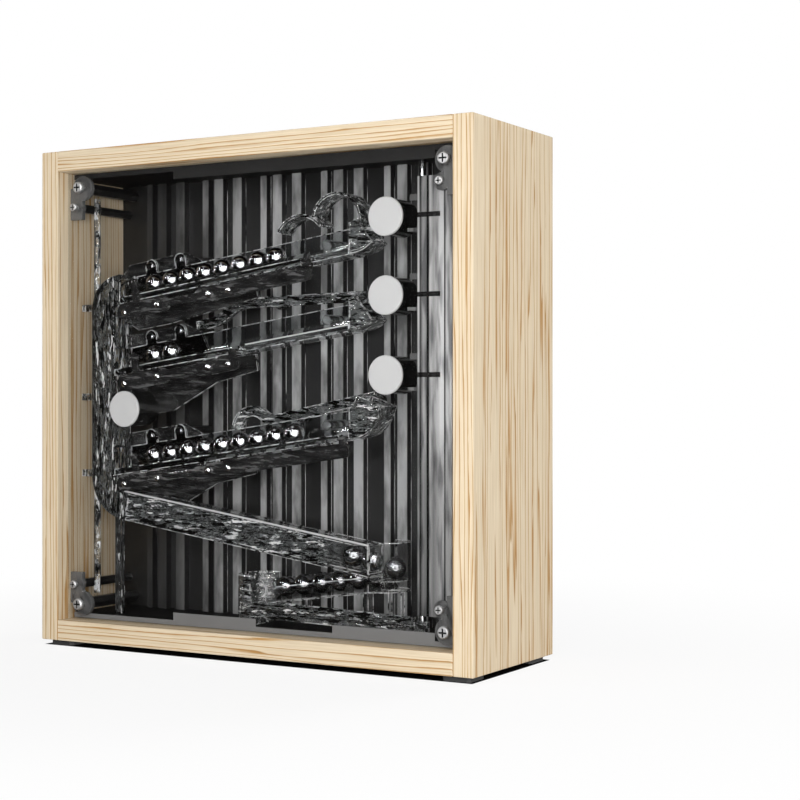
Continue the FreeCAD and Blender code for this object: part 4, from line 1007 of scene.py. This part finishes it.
class BuildScrews(bpy.types.Operator):
    """Make the pan head screws with their cross recesses"""

    bl_idname = "ball_clock.screws"
    bl_label = "Screws"

    def execute(self, context):
        plated = steel("steel_zinc_plated_screw", "#9E9E9E", 0.5, 0.62, 0.25)
        polished = steel("steel_turned_polished_screw", "#9A9A9C", 0.08, 0.14, 0.25)
        # Painted shade: the faces inside the cross recess are near black.
        shaded = steel("steel_cross_recess_painted_shade", "#161616", 0.5, 0.6, 0.25)
        for node in ("panel_screws", "corner_screws", "trough_screws", "rear_screws"):
            facing = 1 if node == "rear_screws" else -1
            mesh = bmesh.new()
            for low, high in islands(node):
                self.screw(mesh, low, high, facing)
            material = polished if node == "trough_screws" else plated
            piece = piece_from(node + "_cross_head", mesh, material, NODE_BODY[node], "steel", node)
            piece.data.materials.append(shaded)
        return {"FINISHED"}

    def screw(self, mesh, low, high, facing):
        """One screw that fills its solid's box, its head towards facing along Y."""
        radius = (high.x - low.x) / 2
        height = radius * HEAD_HEIGHT
        tip, end = (low.y, high.y) if facing < 0 else (high.y, low.y)
        seat = tip - facing * height
        shank = abs(end - seat)
        centre = (low + high) / 2
        part = bmesh.new()
        profile = [
            (0, -shank), (radius * SHANK_RADIUS, -shank), (radius * SHANK_RADIUS, 0), (radius, 0),
            (radius, height * 0.6), (radius * 0.93, height * 0.85), (radius * 0.78, height),
            (0, height),
        ]
        lathe(part, profile, HEAD_SIDES)
        bmesh.ops.recalc_face_normals(part, faces=part.faces)
        blank = object_from("screw_blank", part)
        cutter = self.recess(radius, height)
        cut = blank.modifiers.new("recess", "BOOLEAN")
        cut.object = cutter
        cut.solver = "EXACT"
        solved = blank.evaluated_get(bpy.context.evaluated_depsgraph_get()).to_mesh()
        part = bmesh.new()
        part.from_mesh(solved)
        # Faces inside the recess take the second material, which is the painted shade.
        for face in part.faces:
            middle = face.calc_center_median()
            within = math.hypot(middle.x, middle.z) < radius * RECESS_ARM
            if within and 0 < middle.y < height * 0.97:
                face.material_index = 1
        for vertex in part.verts:
            x, y, z = vertex.co
            vertex.co = (centre.x + x, seat + facing * y, centre.z + z)
        done = bpy.data.meshes.new("screw_done")
        part.to_mesh(done)
        part.free()
        mesh.from_mesh(done)
        for leftover in (blank, cutter):
            bpy.data.objects.remove(leftover)

    def recess(self, radius, height):
        """A tapered cross that is cut into the top of a head."""
        part = bmesh.new()
        slot = radius * RECESS_WIDTH / 2
        rings = []
        for level, arm in (
            (height + RECESS_CLEARANCE, radius * RECESS_ARM),
            (height * RECESS_FLOOR, radius * RECESS_FLOOR_ARM),
        ):
            quarter = ((arm, -slot), (arm, slot), (slot, slot))
            rings.append([
                part.verts.new((x * c - z * s, level, x * s + z * c))
                for c, s in ((1, 0), (0, 1), (-1, 0), (0, -1)) for x, z in quarter
            ])
        for k in range(12):
            part.faces.new((rings[0][k], rings[0][k - 11], rings[1][k - 11], rings[1][k]))
        part.faces.new(rings[0])
        part.faces.new(rings[1])
        bmesh.ops.recalc_face_normals(part, faces=part.faces)
        return object_from("recess", part)


class BuildRear(bpy.types.Operator):
    """Finish the circuit board, power inlet and buttons"""

    bl_idname = "ball_clock.rear"
    bl_label = "Electronics"

    def execute(self, context):
        colours = context.scene.clock_colours
        put_on(solder_mask(colours), "circuit_board")
        put_on(steel("steel_stamped_tin_plated", "#C2C2C0", 0.25, 0.4, 0.4), "power_inlet")
        button = plastic_moulded("abs_moulded_black_button", colours.black, 0.3, 0.5)
        put_on(button, "hour_button", "minute_button")
        return {"FINISHED"}


class BuildStage(bpy.types.Operator):
    """Make the floor, backdrop, lamps and camera"""

    bl_idname = "ball_clock.stage"
    bl_label = "Studio"

    def execute(self, context):
        scene = context.scene
        scene.view_settings.view_transform = "Standard"
        self.camera(scene)
        self.floor()
        self.world(scene)
        self.flag()
        self.lamps(scene)
        return {"FINISHED"}

    def camera(self, scene):
        data = bpy.data.cameras.new("camera")
        data.lens = CAMERA_LENS
        data.sensor_width = SENSOR_WIDTH
        camera = bpy.data.objects.new("camera", data)
        camera.location = CAMERA_PLACE
        camera.rotation_euler = (math.pi / 2, 0, math.radians(CAMERA_YAW))
        scene.collection.objects.link(camera)
        scene.camera = camera

    def floor(self):
        """White paper that glows to the eye, keeps the clock's shadow and has a painted shadow under
        it.
        """
        mesh = bmesh.new()
        bmesh.ops.create_grid(mesh, x_segments=1, y_segments=1, size=FLOOR_REACH)
        floor = object_from("floor", mesh)
        floor.visible_glossy = False
        material = bpy.data.materials.new("paper_backdrop_white")
        material.use_nodes = True
        tree = material.node_tree
        tree.nodes.clear()
        seen = backdrop_rays(tree)
        place = add(tree, "ShaderNodeTexCoord").outputs["Object"]
        reach = add(
            tree, "ShaderNodeVectorMath", {"operation": "LENGTH"}, {0: place}
        ).outputs["Value"]
        sides = add(tree, "ShaderNodeSeparateXYZ", inputs={0: place})
        clear_of_case = 0.0
        for axis, half in (("X", CAD_HIGH.x - SHADE_INSET), ("Y", CAD_HIGH.y - SHADE_INSET)):
            away = add(
                tree, "ShaderNodeMath", {"operation": "ABSOLUTE"}, {0: sides.outputs[axis]}
            ).outputs[0]
            outside = add(
                tree, "ShaderNodeMath", {"operation": "GREATER_THAN"}, {0: away, 1: half}
            ).outputs[0]
            clear_of_case = add(
                tree, "ShaderNodeMath", {"operation": "MAXIMUM"}, {0: clear_of_case, 1: outside}
            ).outputs[0]
        share = add(
            tree, "ShaderNodeMapRange", {"interpolation_type": "SMOOTHSTEP"},
            {
                "Value": reach, "From Min": GLOW_NEAR, "From Max": GLOW_FAR,
                "To Min": GLOW_SHARE, "To Max": 1.0,
            },
        ).outputs["Result"]
        for factor in (clear_of_case, seen):
            share = add(
                tree, "ShaderNodeMath", {"operation": "MULTIPLY"}, {0: share, 1: factor}
            ).outputs[0]
        # Painted shadow: the paper under the case is near black.
        paper_with_painted_shadow = add(
            tree, "ShaderNodeValToRGB", inputs={"Fac": clear_of_case},
            stops=[(0.0, grey(0.01)), (1.0, grey(0.86))],
        )
        paper = add(tree, "ShaderNodeBsdfDiffuse", inputs={"Color": paper_with_painted_shadow.outputs["Color"]})
        glow = add(tree, "ShaderNodeEmission", inputs={"Color": grey(1.0), "Strength": 1.0})
        mixed = add(
            tree, "ShaderNodeMixShader", inputs={0: share, 1: paper.outputs[0], 2: glow.outputs[0]}
        )
        add(tree, "ShaderNodeOutputMaterial", inputs={"Surface": mixed.outputs[0]})
        floor.data.materials.append(material)

    def world(self, scene):
        """White where the eye, metal or clear plastic sees it, and a soft fill light elsewhere."""
        world = bpy.data.worlds.new("studio")
        scene.world = world
        world.use_nodes = True
        tree = world.node_tree
        tree.nodes.clear()
        strength = add(
            tree, "ShaderNodeMapRange",
            inputs={"Value": backdrop_rays(tree), "To Min": WORLD_FILL, "To Max": 1.0},
        )
        sky = add(
            tree, "ShaderNodeBackground",
            inputs={"Color": grey(1.0), "Strength": strength.outputs["Result"]},
        )
        add(tree, "ShaderNodeOutputWorld", inputs={"Surface": sky.outputs[0]})

    def flag(self):
        """A black cloth dome in front, so that metal and clear plastic have a dark field."""
        mesh = bmesh.new()
        bmesh.ops.create_uvsphere(mesh, u_segments=48, v_segments=24, radius=FLAG_RADIUS)
        behind = [v for v in mesh.verts if v.co.y > FLAG_OPENS_AT]
        bmesh.ops.delete(mesh, geom=behind, context="VERTS")
        flag = object_from("flag", mesh)
        cloth = new_material(
            "cotton_woven_black_flag", Base_Color=rgba(linear("#080808")), Roughness=1.0
        )[0]
        flag.data.materials.append(cloth)
        flag.visible_camera = False
        flag.visible_diffuse = False
        flag.visible_shadow = False

    def lamps(self, scene):
        """A key lamp for colour, a large one and small ones for the highlights, and three fills."""
        centre = Vector((0, 0, (CAD_LOW.z + CAD_HIGH.z) / 2))
        towards_camera = (Vector(CAMERA_PLACE) - centre).normalized()
        front = centre + towards_camera * KEY_DISTANCE
        key = self.lamp(scene, "key", front + Vector(KEY_SHIFT), centre, KEY_SIZE, KEY_WATTS)
        key.visible_glossy = False
        key.visible_transmission = False
        ball_lamp = self.lamp(
            scene, "ball_lamp", front + Vector(BALL_LAMP_SHIFT), centre, BALL_LAMP_SIZE, BALL_LAMP_WATTS
        )
        sparkle = [ball_lamp]
        for name, place, watts in FILL_LAMPS:
            fill = self.lamp(scene, name, centre + Vector(place), centre, FILL_SIZE, watts)
            fill.visible_glossy = name != "behind"
        for number, (azimuth, height) in enumerate(GLINT_LAMPS):
            angle = math.radians(azimuth)
            place = centre + Vector((math.sin(angle), -math.cos(angle), height))
            sparkle.append(
                self.lamp(scene, "glint_%d" % number, place, centre, GLINT_SIZE, GLINT_WATTS)
            )
        # Bare boards take no highlight from these lamps, or their tops would clip at a low angle.
        boards = bpy.data.collections.new("boards_without_highlight")
        for name in BOARDS:
            boards.objects.link(frame["nodes"][name])
        for member in boards.collection_objects:
            member.light_linking.link_state = "EXCLUDE"
        for lamp in sparkle:
            lamp.visible_diffuse = False
            lamp.light_linking.receiver_collection = boards

    def lamp(self, scene, name, place, target, size, watts):
        data = bpy.data.lights.new(name, "AREA")
        data.shape = "DISK"
        data.size = size
        data.energy = watts
        lamp = bpy.data.objects.new(name, data)
        lamp.location = place
        lamp.rotation_euler = (target - place).to_track_quat("-Z", "Y").to_euler()
        scene.collection.objects.link(lamp)
        lamp.visible_camera = False
        return lamp


OPERATORS = (
    BuildStage, BuildCase, BuildSheets, BuildChannels, BuildLevers, BuildBalls, BuildWheels,
    BuildLift, BuildScrews, BuildRear,
)


class BallClockPanel(bpy.types.Panel):
    """Lists the clock's build steps and settings."""

    bl_idname = "VIEW3D_PT_ball_clock"
    bl_label = "Rolling ball clock"
    bl_space_type = "VIEW_3D"
    bl_region_type = "UI"
    bl_category = "Ball Clock"

    def draw(self, context):
        for operator in OPERATORS:
            self.layout.operator(operator.bl_idname)
        for group in (context.scene.clock_colours, context.scene.clock_sizes):
            for name in group.__annotations__:
                self.layout.prop(group, name)


CLASSES = (ClockColours, ClockSizes, *OPERATORS, BallClockPanel)


def register():
    for cls in CLASSES:
        bpy.utils.register_class(cls)
    bpy.types.Scene.clock_colours = bpy.props.PointerProperty(type=ClockColours)
    bpy.types.Scene.clock_sizes = bpy.props.PointerProperty(type=ClockSizes)


def unregister():
    del bpy.types.Scene.clock_colours
    del bpy.types.Scene.clock_sizes
    for cls in reversed(CLASSES):
        bpy.utils.unregister_class(cls)


def main():
    register()
    for operator in OPERATORS:
        group, name = operator.bl_idname.split(".")
        getattr(getattr(bpy.ops, group), name)()


if __name__ == "__main__":
    main()
